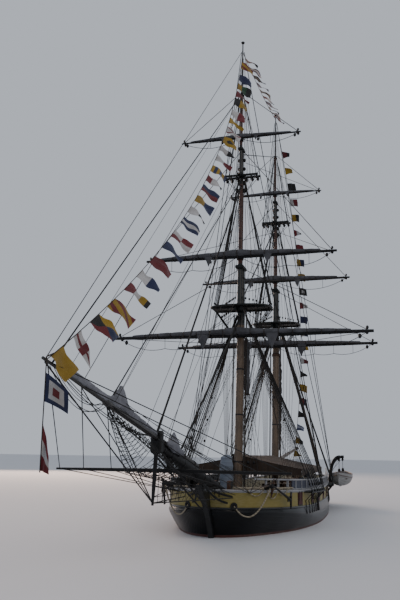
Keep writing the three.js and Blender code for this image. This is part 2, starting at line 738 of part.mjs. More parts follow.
// Channel, lower shrouds, sheer pole and backstays of one side of a mast
const SHROUDS = 6;
const CHANNEL = { width: 0.55, z: 0.2, thickness: 0.08 };
function rigging(name, side) {
  const mast = MASTS[name];
  const [front, back] = mast.channel;
  const stations = [back - 0.5, ...PLAN.map(([x]) => x).filter((x) => x > back - 0.5 && x < front), front];
  const rings = stations.map((x) => {
    const y = halfAt(PLAN, x) + GAP * 2;
    const z = railTop(x) - CHANNEL.z;
    return [
      [y, z],
      [y + CHANNEL.width, z],
      [y + CHANNEL.width, z + CHANNEL.thickness],
      [y, z + CHANNEL.thickness],
    ].map(([yy, zz]) => at(x, side * yy, zz));
  });
  const pieces = [loft(rings)];
  const foot = (x) => at(x, side * (halfAt(PLAN, x) + CHANNEL.width - 0.06), railTop(x) - CHANNEL.z + 0.02);
  const sheer = [];
  for (let i = 0; i < SHROUDS; i++) {
    const share = i / (SHROUDS - 1);
    const low = foot(front - 0.3 + (back - front) * 0.82 * share);
    const high = mastPoint(name, mast.top - 0.5, -0.05 - 0.06 * i);
    high.y = side * (mast.radius * 0.88 + 0.06) * M;
    pieces.push(rope(low, high, SHROUD, 5));
    sheer.push(low.clone().lerp(high, 0.085));
  }
  pieces.push(rope(sheer[0], sheer[sheer.length - 1], SHROUD, 4));
  const backstays = [
    // share along the channel, height on the mast, distance forward of the lower mast's axis
    [0.9, mast.crosstrees - 0.35, TOPMAST_FORWARD - 0.28],
    [0.98, mast.crosstrees - 0.35, TOPMAST_FORWARD - 0.34],
    [1.06, mast.hounds - 0.1, TOPGALLANT_LINE - 0.1],
  ];
  for (const [share, z, forward] of backstays) {
    const low = foot(front + (back - front) * share);
    const high = mastPoint(name, z, forward);
    high.y = side * 0.16 * M;
    pieces.push(rope(low, high, BACKSTAY, 4));
  }
  return joined(pieces);
}

const PARREL_HALF = 0.1; // half the height of the ring that holds a spar to its mast
const BOOM = { z: 4.1, end: [-17.2, 5.35], radius: 0.15 };
const GAFF = { z: 13.2, end: [-11.9, 17.6], radius: 0.12 };
for (const name of Object.keys(MASTS)) {
  node(name + "_lower_mast", lowerMast(name), BUFF_PAINT);
  node(name + "_top", fightingTop(name), DARK_GREEN);
  node(name + "_topmast", topmast(name), BROWN_WOOD);
  node(name + "_topgallant_mast", topgallantMast(name), BUFF_PAINT);
  for (const [label, side] of sides) node(`${name}_rigging_${label}`, rigging(name, side), TARRED_ROPE);
}

node("deck_fittings", deckFittings(), DECK_WOOD);

// Yards, each with the parrel that holds it to its mast, and the sail furled on it

const SPAR_FORWARD = { lower: 0, topmast: TOPMAST_FORWARD, topgallant: TOPGALLANT_LINE };
function sparRadiusAt(mast, on, z) {
  if (on === "lower") return lowerRadiusAt(mast, z);
  if (on === "topmast") return topmastRadiusAt(mast, z);
  return topgallantRadiusAt(mast, z);
}

// Ring that holds a spar to its mast, as [ring, its inner radius]
function parrel(name, z, forward, radius) {
  const inner = turningHole(radius);
  const low = mastPoint(name, z - PARREL_HALF, forward);
  const high = mastPoint(name, z + PARREL_HALF, forward);
  return [collar(low, high, inner, inner + 0.06), inner];
}

const yardRadiusAt = (radius, share) => radius * (1 - 0.5 * share ** 1.6);

function yardStick({ x, z, half, radius }, grow = 0) {
  const shares = [-1, -0.6, -0.15, 0.15, 0.6, 1];
  const taper = shares.map((share) => [(1 + share) / 2, yardRadiusAt(radius, Math.abs(share))]);
  return spar(at(x, -half, z), at(x, half, z), taper, 10, grow);
}

function yardPlace(name, yard) {
  const z = yard.z[name];
  const onMast = mastPoint(name, z, SPAR_FORWARD[yard.on]).x / M;
  return { onMast, x: onMast + YARD_FORWARD[yard.on], z, half: yard.half[name], radius: yard.radius };
}

function yardSolid(name, yard) {
  const place = yardPlace(name, yard);
  const { onMast, x, z } = place;
  const mastRadius = sparRadiusAt(MASTS[name], yard.on, z - PARREL_HALF);
  const [ring, inner] = parrel(name, z, SPAR_FORWARD[yard.on], mastRadius);
  const strut = box(onMast + inner + 0.02, x, -0.08, 0.08, z - 0.07, z + 0.07);
  return joined([yardStick(place), ring, strut]);
}

const FURL = { reach: 0.84, rise: 0.55, steps: 9, sides: 8 };
const FURL_RADIUS = { course: 0.24, topsail: 0.24, topgallant: 0.17 };
function furledSail(yard, place) {
  const { x, z, half, radius } = place;
  const rings = [];
  const fat = FURL_RADIUS[yard.name];
  for (let i = 0; i < FURL.steps; i++) {
    const share = (i / (FURL.steps - 1)) * 2 - 1;
    const swell = fat * (0.45 + 0.55 * Math.sqrt(1 - Math.abs(share) ** 2.5));
    const away = yardRadiusAt(radius, Math.abs(share) * FURL.reach) * 0.85 + swell * 0.95;
    const cx = x + away * Math.cos(FURL.rise);
    const cz = z + away * Math.sin(FURL.rise);
    const ring = [];
    for (let j = 0; j < FURL.sides; j++) {
      const turn = (j / FURL.sides) * 2 * Math.PI;
      ring.push(at(cx + swell * Math.cos(turn), share * half * FURL.reach, cz + swell * Math.sin(turn)));
    }
    rings.push(ring);
  }
  return without(loft(rings), [yardStick(place, FIT)]);
}

for (const name of Object.keys(MASTS))
  for (const yard of YARDS) {
    node(`${name}_${yard.name}_yard`, yardSolid(name, yard), BLACK_PAINT);
    node(`${name}_${yard.name}_furled`, furledSail(yard, yardPlace(name, yard)), CANVAS);
  }

// Bowsprit, jibboom and what hangs from them

node("bowsprit", bowspritLine(), BUFF_PAINT);

function jibboomLine(grow = 0) {
  const { heel, step, tip, radius } = JIBBOOM;
  const share = (step[0] - heel[0]) / (tip[0] - heel[0]);
  const taper = [
    [0, radius],
    [share - 0.01, radius * 0.8],
    [share, radius * 0.95],
    [share + 0.015, radius * 0.95],
    [share + 0.02, radius * 0.55],
    [1, radius * 0.35],
  ];
  return spar(inPlane(heel), inPlane(tip), taper, 12, grow);
}
node("jibboom", without(jibboomLine(), [bowspritLine(FIT)]), BUFF_PAINT);

const along = ({ heel, tip, cap }, x) => {
  const end = tip ?? cap;
  return heel[1] + ((x - heel[0]) * (end[1] - heel[1])) / (end[0] - heel[0]);
};

// Cap at the bowsprit's end, the dolphin striker under it, and the stays that hold the jibboom down
const STRIKER = { x: 26.85, foot: 2.38, head: [26.52, 4.75], radii: [[0, 0.1], [1, 0.06]] };
const BACKROPE_END = [17.45, 1.4, 2.25];
const BOBSTAY = { y: 0.2, high: [26.45, 4.66], low: [18.1, 1.6], radius: 0.04 };
const capBlock = box(BOWSPRIT.cap[0] - 0.06, BOWSPRIT.cap[0] + 0.36, -0.26, 0.26, 4.62, 5.62);
function martingale() {
  const striker = spar(inPlane(STRIKER.head), at(STRIKER.x, 0, STRIKER.foot), STRIKER.radii);
  const toStep = inPlane([JIBBOOM.step[0], along(JIBBOOM, JIBBOOM.step[0]) - 0.2]);
  const toTip = inPlane([JIBBOOM.tip[0] - 0.15, along(JIBBOOM, JIBBOOM.tip[0] - 0.15) - 0.08]);
  const foot = at(STRIKER.x - 0.01, 0, STRIKER.foot + 0.08);
  const pieces = [capBlock, striker, rope(foot, toStep, LINE, 4), rope(foot, toTip, LINE, 4)];
  for (const [, side] of sides) {
    const [x, y, z] = BACKROPE_END;
    pieces.push(rope(foot, at(x, side * y, z), LINE, 4));
    const { high, low, radius } = BOBSTAY;
    pieces.push(rope(inPlane(high, side * BOBSTAY.y), inPlane(low, side * BOBSTAY.y), radius));
  }
  return without(joined(pieces), [jibboomLine(FIT), bowspritLine(FIT)]);
}
node("martingale", martingale(), BLACK_PAINT);

const SPRITSAIL = { x: 24.7, z: 3.82, half: 5.8, radius: 0.1 };
function spritsailYard() {
  const { x, z, half, radius } = SPRITSAIL;
  const shares = [0, 0.25, 0.5, 0.75, 1];
  const stick = spar(
    at(x, -half, z),
    at(x, half, z),
    shares.map((share) => [share, yardRadiusAt(radius, Math.abs(share * 2 - 1))]),
    10,
  );
  const sling = box(x - 0.12, x + 0.12, -0.08, 0.08, z, along(BOWSPRIT, x));
  return without(joined([stick, sling]), [bowspritLine(FIT)]);
}
node("spritsail_yard", spritsailYard(), BLACK_PAINT);

// Main stays, each a taut rope in the ship's middle plane
const overBowsprit = (x, over, y = 0) => inPlane([x, along(BOWSPRIT, x) + over], y);
const overJibboom = (x, over) => inPlane([x, along(JIBBOOM, x) + over]);
const STAYS = {
  // name: from, to, radius
  fore_stay: [mastPoint("fore", 14.25), overBowsprit(24.0, 0.05, 0.24), STAY],
  fore_topmast_stay: [mastPoint("fore", 23.9, TOPMAST_FORWARD), inPlane([26.45, 5.57]), STAY],
  jib_stay: [mastPoint("fore", 24.33, TOPMAST_FORWARD), overJibboom(32.2, 0), BACKSTAY],
  fore_topgallant_stay: [mastPoint("fore", 31.2, TOPGALLANT_LINE), overJibboom(36.9, 0), BACKSTAY],
  main_stay: [mastPoint("main", 15.85), mastPoint("fore", 5.3), STAY],
  main_topmast_stay: [mastPoint("main", 25.2, TOPMAST_FORWARD), mastPoint("fore", 15.2), STAY],
  main_topgallant_stay: [
    mastPoint("main", 32.1, TOPGALLANT_LINE),
    mastPoint("fore", 26.3, TOPMAST_FORWARD),
    BACKSTAY,
  ],
};

// What the stays and the lines of flags end on
const SEATS = ["fore", "main"].flatMap((name) => [
  lowerPole(name, FIT),
  masthead(name, FIT),
  topmastLine(name, FIT),
  topgallantLine(name, FIT),
]);
SEATS.push(jibboomLine(FIT), bowspritLine(FIT), moved(capBlock, 0, 0, GAP));
// Head sails furled along the jibboom and the bowsprit
const FURLED_JIBS = [
  // x, radius, rise over the spar
  [35.8, 0.09, 0.0],
  [35.2, 0.14, 0.02],
  [33.8, 0.16, 0.03],
  [32.0, 0.17, 0.06],
  [31.45, 0.2, 0.16],
  [31.0, 0.25, 0.38],
  [30.6, 0.25, 0.36],
  [30.1, 0.25, 0.2],
  [29.5, 0.24, 0.1],
  [28.2, 0.21, 0.05],
  [26.75, 0.18, 0.03],
];
const FURL_OVER = 0.55; // how far the roll rides over the spar, of lying clear on top of it
function furledJibs() {
  const rings = FURLED_JIBS.map(([x, radius, rise]) => {
    const sparRadius = JIBBOOM.radius * (x > JIBBOOM.step[0] ? 0.5 : 0.8);
    const centre = along(JIBBOOM, x) + (sparRadius + radius) * FURL_OVER + rise * 0.5;
    const ring = [];
    for (let j = 0; j < 8; j++) {
      const turn = (j / 8) * 2 * Math.PI;
      ring.push(at(x, radius * 0.8 * Math.cos(turn), centre + (radius + rise * 0.5) * Math.sin(turn)));
    }
    return ring;
  });
  return without(loft(rings), [jibboomLine(FIT), stayRope(STAYS.jib_stay, FIT)]);
}
node("furled_jibs", furledJibs(), CANVAS);

// Head rails from the bow to a block on the stem head
const HEAD_RAILS = {
  from: [
    // x, y, z on the bow
    [17.05, 1.25, 2.3],
    [17.16, 1.0, 1.95],
  ],
  middle: 18.1,
  rise: 0.2,
  end: [19.1, 0.2, 2.96],
  radius: 0.06,
  block: [18.9, 19.3, -0.26, 0.26, 2.8, 3.02],
};
function headRails() {
  const { from, middle, rise, end, radius, block } = HEAD_RAILS;
  const pieces = [box(...block)];
  for (const [, side] of sides)
    for (const [x, y, z] of from) {
      const halfway = at(middle, (side * y) / 2, z + rise);
      pieces.push(rope(at(x, side * y, z), halfway, radius, 4));
      pieces.push(rope(halfway, at(end[0], side * end[1], end[2]), radius, 4));
    }
  return without(joined(pieces), [moved(keelShape(FIT), 0, 0, FIT), moved(bulwark(), FIT, 0, 0)]);
}
node("head_rails", headRails(), CREAM_PAINT);

// Cathead with its anchor, one on each bow
const CATHEAD = [
  // from, to, radius, number of sides
  [[14.9, 2.35, 2.65], [15.75, 3.35, 2.88], 0.11, 4], // beam
  [[15.6, 3.25, 2.95], [13.4, 3.98, 2.0], 0.07, 6], // shank
  [[13.3, 3.98, 1.5], [13.6, 4.05, 2.45], 0.07, 6], // arms
  [[15.3, 3.15, 2.2], [15.7, 3.4, 3.25], 0.07, 6], // stock
];
function cathead(side) {
  const onSide = ([x, y, z]) => at(x, side * y, z);
  return joined(CATHEAD.map(([from, to, radius, count]) => rope(onSide(from), onSide(to), radius, count)));
}
for (const [label, side] of sides) {
  const seats = [moved(bulwark(), 0, 0, GAP), moved(bulwark(), 0, side * GAP, 0)];
  node("cathead_" + label, without(cathead(side), seats), BLACK_PAINT);
}

// A taut stay, thicker where its ends are served
function stayRope([a, b, radius], grow = 0) {
  const served = 0.9 / (a.distanceTo(b) / M);
  const taper = [
    [0, radius * 1.2],
    [served, radius * 1.2],
    [served * 1.1, radius],
    [1 - served * 1.1, radius],
    [1 - served, radius * 1.2],
    [1, radius * 1.2],
  ];
  return spar(a, b, taper, 6, grow);
}
for (const [name, stay] of Object.entries(STAYS)) node(name, without(stayRope(stay), SEATS), TARRED_ROPE);

// Windsail, a canvas chute that stands over the fore scuttle
const WINDSAIL = { x: 11.9, y: -0.35, top: 4.58, radii: [[0, 0.42], [0.7, 0.46], [0.93, 0.4], [1, 0.15]] };
const chuteEnds = [SCUTTLE_TOP + GAP, WINDSAIL.top].map((z) => at(WINDSAIL.x, WINDSAIL.y, z));
node("windsail", spar(...chuteEnds, WINDSAIL.radii), CANVAS);

// Quarter boats on their davits
const BOAT = { x: -11.1, length: 5.8, half: 1.0, keel: 1.98, rail: 2.97, lift: 0.25 };
const DAVIT_X = [-9.2, -13.0];
const boatY = 4.85;
const THWART = { half: 0.62, halfLength: 0.12, low: 2.6, high: 2.67 };
const FALLS = { low: 2.63, high: 4.46, radius: 0.05 }; // tackles between boat and davit
const DAVIT = { foot: 1.9, bend: 4.6, head: 4.55, beyond: 0.15, half: 0.08, off: 0.09 };
function boatHull(side, shrink) {
  const rings = [];
  for (const share of [-1, -0.85, -0.5, 0, 0.5, 0.85, 1]) {
    const half = Math.max(BOAT.half * (1 - Math.abs(share) ** 2.6) - shrink, 0.05);
    const low = BOAT.keel + 0.35 * share ** 4 + shrink;
    const high = BOAT.rail + BOAT.lift * share ** 2 + (shrink ? 0.2 : 0);
    const x = BOAT.x + (share * (BOAT.length - 4 * shrink)) / 2;
    const deep = high - low;
    rings.push(
      [
        [0, low],
        [half * 0.55, low + deep * 0.12],
        [half * 0.9, low + deep * 0.45],
        [half, high],
        [-half, high],
        [-half * 0.9, low + deep * 0.45],
        [-half * 0.55, low + deep * 0.12],
      ].map(([y, z]) => at(x, side * boatY + y, z)),
    );
  }
  return loft(rings);
}
function quarterBoat(side) {
  const shell = without(boatHull(side, 0), [boatHull(side, 0.05)]);
  const { half, halfLength, low, high } = THWART;
  const middle = side * boatY;
  const fittings = DAVIT_X.flatMap((x) => [
    box(x - halfLength, x + halfLength, middle - half, middle + half, low, high),
    rope(at(x, middle, FALLS.low), at(x, middle, FALLS.high - GAP), FALLS.radius),
  ]);
  return joined([shell, ...fittings]);
}
function davits(side) {
  const pieces = DAVIT_X.map((x) => {
    const y = halfAt(PLAN, x) + CAP + DAVIT.off;
    const curve = new THREE.QuadraticBezierCurve3(
      at(x, side * y, DAVIT.foot),
      at(x, side * (y + 0.05), DAVIT.bend),
      at(x, side * (boatY + DAVIT.beyond), DAVIT.head),
    );
    const half = DAVIT.half * M;
    const square = new THREE.Shape([
      new THREE.Vector2(-half, -half),
      new THREE.Vector2(half, -half),
      new THREE.Vector2(half, half),
      new THREE.Vector2(-half, half),
    ]);
    return solid(new THREE.ExtrudeGeometry(square, { steps: 8, extrudePath: curve, bevelEnabled: false }));
  });
  const ends = [DAVIT_X[0] + 0.1, DAVIT_X[1] - 0.1];
  const bar = ends.map((x) => at(x, side * (halfAt(PLAN, x) + CAP + 0.05), 2.1));
  const falls = DAVIT_X.map((x) =>
    rope(at(x, side * boatY, FALLS.low), at(x, side * boatY, FALLS.high), FALLS.radius + FIT),
  );
  return without(joined([...pieces, rope(bar[0], bar[1], 0.14, 4)]), [
    moved(bulwark(), 0, side * FIT, 0),
    ...falls,
  ]);
}
for (const [label, side] of sides) {
  node("quarter_boat_" + label, quarterBoat(side), BOAT_PAINT);
  node("davits_" + label, davits(side), BLACK_PAINT);
}

// Rudder with its stock and tiller
const RUDDER_BLADE = [
  // x from the rudder's axis, z
  [0, -3.5],
  [-1.35, -3.5],
  [-1.3, -1.6],
  [-0.9, 0.1],
  [-0.75, 0.5],
  [0, 0.5],
];
const BLADE_HALF = 0.12;
const STOCK = { foot: -3.5, head: 2.5 };
const TILLER = { z: 2.3, end: [-15.35, 2.45], radii: [[0, 0.08], [1, 0.05]] };
function rudder() {
  const outline = RUDDER_BLADE.map(([dx, z]) => new THREE.Vector2(rudderPoint(z).x + dx * M, z * M));
  const geometry = new THREE.ExtrudeGeometry(new THREE.Shape(outline), {
    depth: 2 * BLADE_HALF * M,
    bevelEnabled: false,
    steps: 1,
  });
  geometry.rotateX(Math.PI / 2);
  geometry.translate(0, BLADE_HALF * M, 0);
  const stock = rope(rudderPoint(STOCK.foot), rudderPoint(STOCK.head), RUDDER_RADIUS, 12);
  return joined([solid(geometry), stock, spar(rudderPoint(TILLER.z), inPlane(TILLER.end), TILLER.radii)]);
}
node("rudder", rudder(), COPPER);

// Steering wheel on its axle
function wheel() {
  const axleZ = deckAt(WHEEL.x) + WHEEL.height;
  const rim = new THREE.TorusGeometry(WHEEL.radius * M, 0.05 * M, 5, 20);
  rim.rotateY(Math.PI / 2);
  rim.translate(WHEEL.x * M, 0, axleZ * M);
  const inside = 0.3 - CLEAR;
  const pieces = [solid(rim), rope(at(WHEEL.x - inside, 0, axleZ), at(WHEEL.x + inside, 0, axleZ), 0.12, 12)];
  for (let i = 0; i < 5; i++) {
    const turn = (i / 5) * Math.PI;
    const reach = WHEEL.radius + 0.16;
    const y = reach * Math.cos(turn);
    const z = reach * Math.sin(turn);
    pieces.push(rope(at(WHEEL.x, -y, axleZ - z), at(WHEEL.x, y, axleZ + z), 0.03, 4));
  }
  pieces.push(rope(at(WHEEL.x - 0.44, 0, axleZ), at(WHEEL.x + 0.44, 0, axleZ), WHEEL.axle, 12));
  return joined(pieces);
}
node("steering_wheel", wheel(), BROWN_WOOD);

// Boom and gaff behind the main mast, with the driver brailed up to the mast

function swungSpar({ z, end, radius }) {
  const [ring, inner] = parrel("main", z, 0, lowerRadiusAt(MASTS.main, z - PARREL_HALF));
  const room = spar(mastPoint("main", z - 0.5), mastPoint("main", z + 0.5), [
    [0, inner + 0.02],
    [1, inner + 0.02],
  ]);
  return joined([ring, swungStick({ z, end, radius }).subtract(room)]);
}
function swungStick({ z, end, radius }, grow = 0) {
  const start = mastPoint("main", z, -lowerRadiusAt(MASTS.main, z) - 0.03);
  const taper = [
    [0, radius * 0.8],
    [0.4, radius],
    [1, radius * 0.55],
  ];
  return spar(start, inPlane(end), taper, 12, grow);
}
node("boom", swungSpar(BOOM), BUFF_PAINT);
node("gaff", swungSpar(GAFF), BUFF_PAINT);
const DRIVER = { foot: 5.0, head: 13.36, aft: 0.62, radius: 0.22 };
function brailedDriver() {
  const { foot, head, aft, radius } = DRIVER;
  const swell = [
    [0, 0.12],
    [0.15, radius],
    [0.85, radius],
    [1, 0.16],
  ];
  const bundle = spar(mastPoint("main", foot, -aft), mastPoint("main", head, -aft - 0.04), swell, 8);
  return without(bundle, [swungStick(GAFF, FIT)]);
}
node("driver_brailed", brailedDriver(), CANVAS);

// Lines of flags. Each flag is a plate joined to its line along its hoist.
const FLAG = { cloth: 0.02, lean: 0.8 };
function flagLine(curve, steps, { shares, hoist, fly, stream }) {
  const square = new THREE.Shape([
    new THREE.Vector2(-LINE * M, 0),
    new THREE.Vector2(0, -LINE * M),
    new THREE.Vector2(LINE * M, 0),
    new THREE.Vector2(0, LINE * M),
  ]);
  const line = new THREE.ExtrudeGeometry(square, { steps, extrudePath: curve, bevelEnabled: false });
  const pieces = [without(solid(line), SEATS)];
  for (const share of shares) {
    const centre = curve.getPoint(share);
    const tangent = curve.getTangent(share);
    const out = new THREE.Vector3(-tangent.z, 0, tangent.x);
    if (out.z > 0) out.negate();
    out.multiplyScalar(1 - FLAG.lean).add(new THREE.Vector3(...stream)).normalize();
    out.addScaledVector(tangent, -out.dot(tangent)).normalize();
    const across = tangent.clone().cross(out);
    const plate = new THREE.BoxGeometry(hoist * M, fly * M, FLAG.cloth * M);
    plate.translate(0, (fly * M) / 2, 0);
    plate.applyMatrix4(new THREE.Matrix4().makeBasis(tangent, out, across));
    plate.translate(centre.x, centre.y, centre.z);
    pieces.push(solid(plate));
  }
  return joined(pieces);
}

const FORE_LINE = new THREE.QuadraticBezierCurve3(
  at(37.3, 0.02, 7.46),
  at(17, 0.6, 19),
  mastPoint("fore", 34.75, TOPGALLANT_LINE).add(at(0, 0.02, 0)),
);
const FORE_FLAGS = {
  // where each flag is laced, as a share of the line, and which way the flags stream
  shares: [
    0.016, 0.046, 0.083, 0.119, 0.16, 0.194, 0.235, 0.28, 0.315, 0.36, 0.397, 0.436, 0.476,
    0.51, 0.547, 0.587, 0.625, 0.659, 0.697, 0.733, 0.765, 0.81, 0.838, 0.868, 0.902, 0.95,
  ],
  hoist: 0.85,
  fly: 1.05,
  stream: [-0.15, 0.65, -0.4],
};

// Two more flags on a line that hangs from the jibboom's tip
const TIP_LINE = { x: 37.42, y: 0.09, top: 7.55, foot: 4.0 };
const TIP_FLAGS = [
  // top, bottom, fly outwards, fly aft
  [7.05, 6.15, 0.75, -0.3],
  [5.5, 4.05, 0.22, -0.12],
];
function tipFlags() {
  const { x, y, top, foot } = TIP_LINE;
  const pieces = [
    rope(FORE_LINE.getPoint(0.012), at(x, y, top), LINE, 4),
    rope(at(x, y, top + LINE), at(x, y, foot), LINE, 4),
  ];
  for (const [high, low, out, aft] of TIP_FLAGS) {
    const half = FLAG.cloth / 2;
    const rim = [low, high].map((z) => [
      at(x - half, y, z),
      at(x + half, y, z),
      at(x + half + aft, y + out, z - 0.05),
      at(x - half + aft, y + out, z - 0.05),
    ]);
    pieces.push(loft(rim));
  }
  return pieces;
}
const foreLine = without(joined([flagLine(FORE_LINE, 16, FORE_FLAGS), ...tipFlags()]), [jibboomLine(FIT)]);
node("dressing_line_fore", foreLine, BUNTING);

const MIDDLE_LINE = new THREE.QuadraticBezierCurve3(
  mastPoint("fore", 34.75, TOPGALLANT_LINE - 0.02),
  at(1.2, 0, 34.9),
  mastPoint("main", 36.05, TOPGALLANT_LINE + 0.02),
);
const evenly = (count, first, step) => Array.from({ length: count }, (_, i) => first + i * step);
const MIDDLE_FLAGS = { shares: evenly(10, 0.08, 0.093), hoist: 0.7, fly: 0.85, stream: [-0.15, 0.8, -0.2] };
node("dressing_line_middle", flagLine(MIDDLE_LINE, 8, MIDDLE_FLAGS), BUNTING);

const AFT_LINE = new THREE.QuadraticBezierCurve3(
  mastPoint("main", 36.05, TOPGALLANT_LINE - 0.02),
  at(-16.2, 2.2, 19),
  at(-18.55, -0.9, railAt(-18.3) - 0.03),
);
const AFT_FLAGS = { shares: evenly(22, 0.085, 0.0405), hoist: 0.72, fly: 0.78, stream: [-0.1, 0.8, -0.15] };
const aftLine = without(flagLine(AFT_LINE, 12, AFT_FLAGS), [moved(bulwark(), 0, 0, GAP)]);
node("dressing_line_aft", aftLine, BUNTING);

export default ship;
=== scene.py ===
"""A two-masted brig at half her real size, with her sails furled and flags on her stays.
Sizes are in metres of the real ship, and at() turns them to metres of the model."""
import json
import math
from types import SimpleNamespace

import bmesh
import bpy
from mathutils import Matrix, Vector, noise

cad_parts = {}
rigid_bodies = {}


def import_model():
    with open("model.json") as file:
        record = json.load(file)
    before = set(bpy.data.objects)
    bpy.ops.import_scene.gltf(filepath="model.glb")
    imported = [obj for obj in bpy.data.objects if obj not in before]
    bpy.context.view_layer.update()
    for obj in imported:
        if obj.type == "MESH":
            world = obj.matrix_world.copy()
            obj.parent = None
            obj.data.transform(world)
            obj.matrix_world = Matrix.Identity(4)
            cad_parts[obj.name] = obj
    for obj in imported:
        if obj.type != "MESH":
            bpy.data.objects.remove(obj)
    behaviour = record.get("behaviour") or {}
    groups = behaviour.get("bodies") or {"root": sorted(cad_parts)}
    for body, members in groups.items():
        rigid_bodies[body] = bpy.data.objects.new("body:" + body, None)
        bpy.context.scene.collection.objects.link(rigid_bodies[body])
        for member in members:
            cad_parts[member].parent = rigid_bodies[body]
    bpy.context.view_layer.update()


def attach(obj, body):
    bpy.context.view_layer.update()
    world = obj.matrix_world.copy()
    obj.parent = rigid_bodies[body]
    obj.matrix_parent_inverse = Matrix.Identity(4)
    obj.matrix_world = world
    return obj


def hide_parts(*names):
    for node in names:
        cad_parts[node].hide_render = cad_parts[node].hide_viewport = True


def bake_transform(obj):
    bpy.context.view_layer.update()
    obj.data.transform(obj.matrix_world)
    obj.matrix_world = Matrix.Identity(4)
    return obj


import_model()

SCALE = 0.5  # of the model to the real ship
HANDS = (1, -1)  # port and starboard
SIDES = (("port", 1), ("starboard", -1))


def at(x, y, z):
    return Vector((x, y, z)) * SCALE


def put(name, data):
    """A new object in the scene."""
    thing = bpy.data.objects.new(name, data)
    bpy.context.scene.collection.objects.link(thing)
    return thing


# Camera, where the photograph was taken: low over the water, ahead of the port bow

CAMERA_PLACE = (57.62, 10.88, 4.645)
CAMERA_TURN = 16.05  # degrees its line of sight is off the ship's middle line
CAMERA_PITCH = 12.07
CAMERA_ROLL = 0.87
LENS = 43.03
FILM = 36  # height of the frame in mm
FAR = 2000


def set_camera():
    turn, pitch, roll = (math.radians(a) for a in (CAMERA_TURN, CAMERA_PITCH, CAMERA_ROLL))
    ahead = Vector((-math.cos(turn) * math.cos(pitch), -math.sin(turn) * math.cos(pitch), math.sin(pitch)))
    level = ahead.cross(Vector((0, 0, 1))).normalized()
    over = level.cross(ahead)
    right = level * math.cos(roll) + over * math.sin(roll)
    up = over * math.cos(roll) - level * math.sin(roll)
    data = bpy.data.cameras.new("camera")
    data.lens = LENS
    data.sensor_width = FILM
    data.clip_end = FAR
    camera = put("camera", data)
    facing = Matrix((right, up, -ahead)).transposed().to_4x4()
    camera.matrix_world = Matrix.Translation(at(*CAMERA_PLACE)) @ facing
    bpy.context.scene.camera = camera


set_camera()

# The ship's lines

PLANK = 0.08
RAIL_HEIGHT = 1.0
WALL = 0.12
CAP = 0.09
UPPER_RAIL = 0.6
BULGE = 0.1
BEAM_KEEL = 0.15
KEEL_Z = -3.2
STEM_HALF = 0.3
PLAN = [
    # x, half breadth of the deck
    (-18.3, 2.7), (-17.0, 2.9), (-14.5, 3.2), (-12.0, 3.5), (-8.0, 3.95), (-4.0, 4.3), (0.0, 4.5),
    (4.0, 4.6), (8.0, 4.55), (10.8, 4.25), (13.0, 3.7), (14.6, 3.05), (15.8, 2.35), (16.7, 1.55),
    (17.2, 0.85), (17.45, 0.0),
]
SECTIONS = [
    # x, keel z, z of the widest point, fullness: over 2 is boxy and 1 a straight V
    (-18.3, 1.2, 1.45, 1.8), (-17.2, 0.85, 1.4, 1.2), (-16.35, 0.5, 1.35, 0.8), (-16.1, KEEL_Z, 1.3, 0.42),
    (-14.5, KEEL_Z, 1.2, 0.68), (-12.0, KEEL_Z, 1.1, 1.0), (-8.0, KEEL_Z, 0.8, 1.4), (-4.0, KEEL_Z, 0.5, 1.9),
    (0.0, KEEL_Z, 0.4, 2.0), (4.0, KEEL_Z, 0.5, 1.9), (8.0, KEEL_Z, 0.8, 1.45), (10.8, KEEL_Z, 1.0, 1.27),
    (13.0, -3.05, 1.2, 1.15), (14.6, -2.5, 1.3, 1.08), (15.8, -1.35, 1.35, 1.1), (16.7, 0.35, 1.4, 1.2),
    (17.2, 1.15, 1.5, 1.4), (17.42, 1.45, 1.6, 1.4),
]
STERN_X, STERN_HALF = PLAN[0]
BOW = len(PLAN) - 1.0
RAKE_FROM = 3.5
TOPMAST_FORWARD = 0.56
TOPGALLANT_FORWARD = 0.98
PARREL_HALF = 0.1


def deck_at(x):
    return 1.38 + 0.3 * (x / 17) ** 2


class Mast(SimpleNamespace):
    """A mast: its place, its rake and the heights of what it carries."""

    def at(self, z, forward=0.0, y=0.0):
        return at(self.x - self.rake * (z - RAKE_FROM) + forward, y, z)

    def x_at(self, z, forward=0.0):
        return self.at(z, forward).x / SCALE

    def radius_at(self, z):
        foot, hounds = deck_at(self.x) - 0.05, self.top - 0.35
        return self.radius * (1 - 0.12 * (z - foot) / (hounds - foot))

    def hoop(self, z, height, inner, outer, forward=0.0):
        return hoop(self.at(z, forward), self.at(z + height, forward), inner, outer)


# In yards: height, half length, radius of the mast there, and height and place forward of the braces' far ends
FORE = Mast(
    name="fore", x=10, rake=0.064, radius=0.28, top=14.7, half_top=2.1, cap=17.45, crosstrees=24.6,
    topmast_cap=26.5, hounds=31.2, truck=35.65, channel=(10.2, 5.4),
    yards={
        "course": (12.61, 9.06, 0.2524, 14.0, 0),
        "topsail": (18.2, 6.82, 0.1577, 24.6, TOPMAST_FORWARD),
        "topgallant": (27.3, 4.46, 0.111, 34.6, TOPGALLANT_FORWARD),
    },
)
MAIN = Mast(
    name="main", x=-3.96, rake=0.078, radius=0.31, top=16.0, half_top=2.05, cap=18.95, crosstrees=25.6,
    topmast_cap=27.4, hounds=32.2, truck=36.6, channel=(-3.7, -8.0),
    yards={
        "course": (13.95, 8.79, 0.2789, 12.4, 0),
        "topsail": (19.8, 6.63, 0.1551, 16.6, 0),
        "topgallant": (28.15, 4.29, 0.1113, 25.6, TOPMAST_FORWARD),
    },
)
MASTS = (FORE, MAIN)
BOWSPRIT = ((14.2, 2.36), (26.3, 4.95))
JIBBOOM = ((20.0, 3.98), (37.5, 7.5))
JIBBOOM_STEP = 32.2


def lerp(a, b, share):
    return a + (b - a) * share


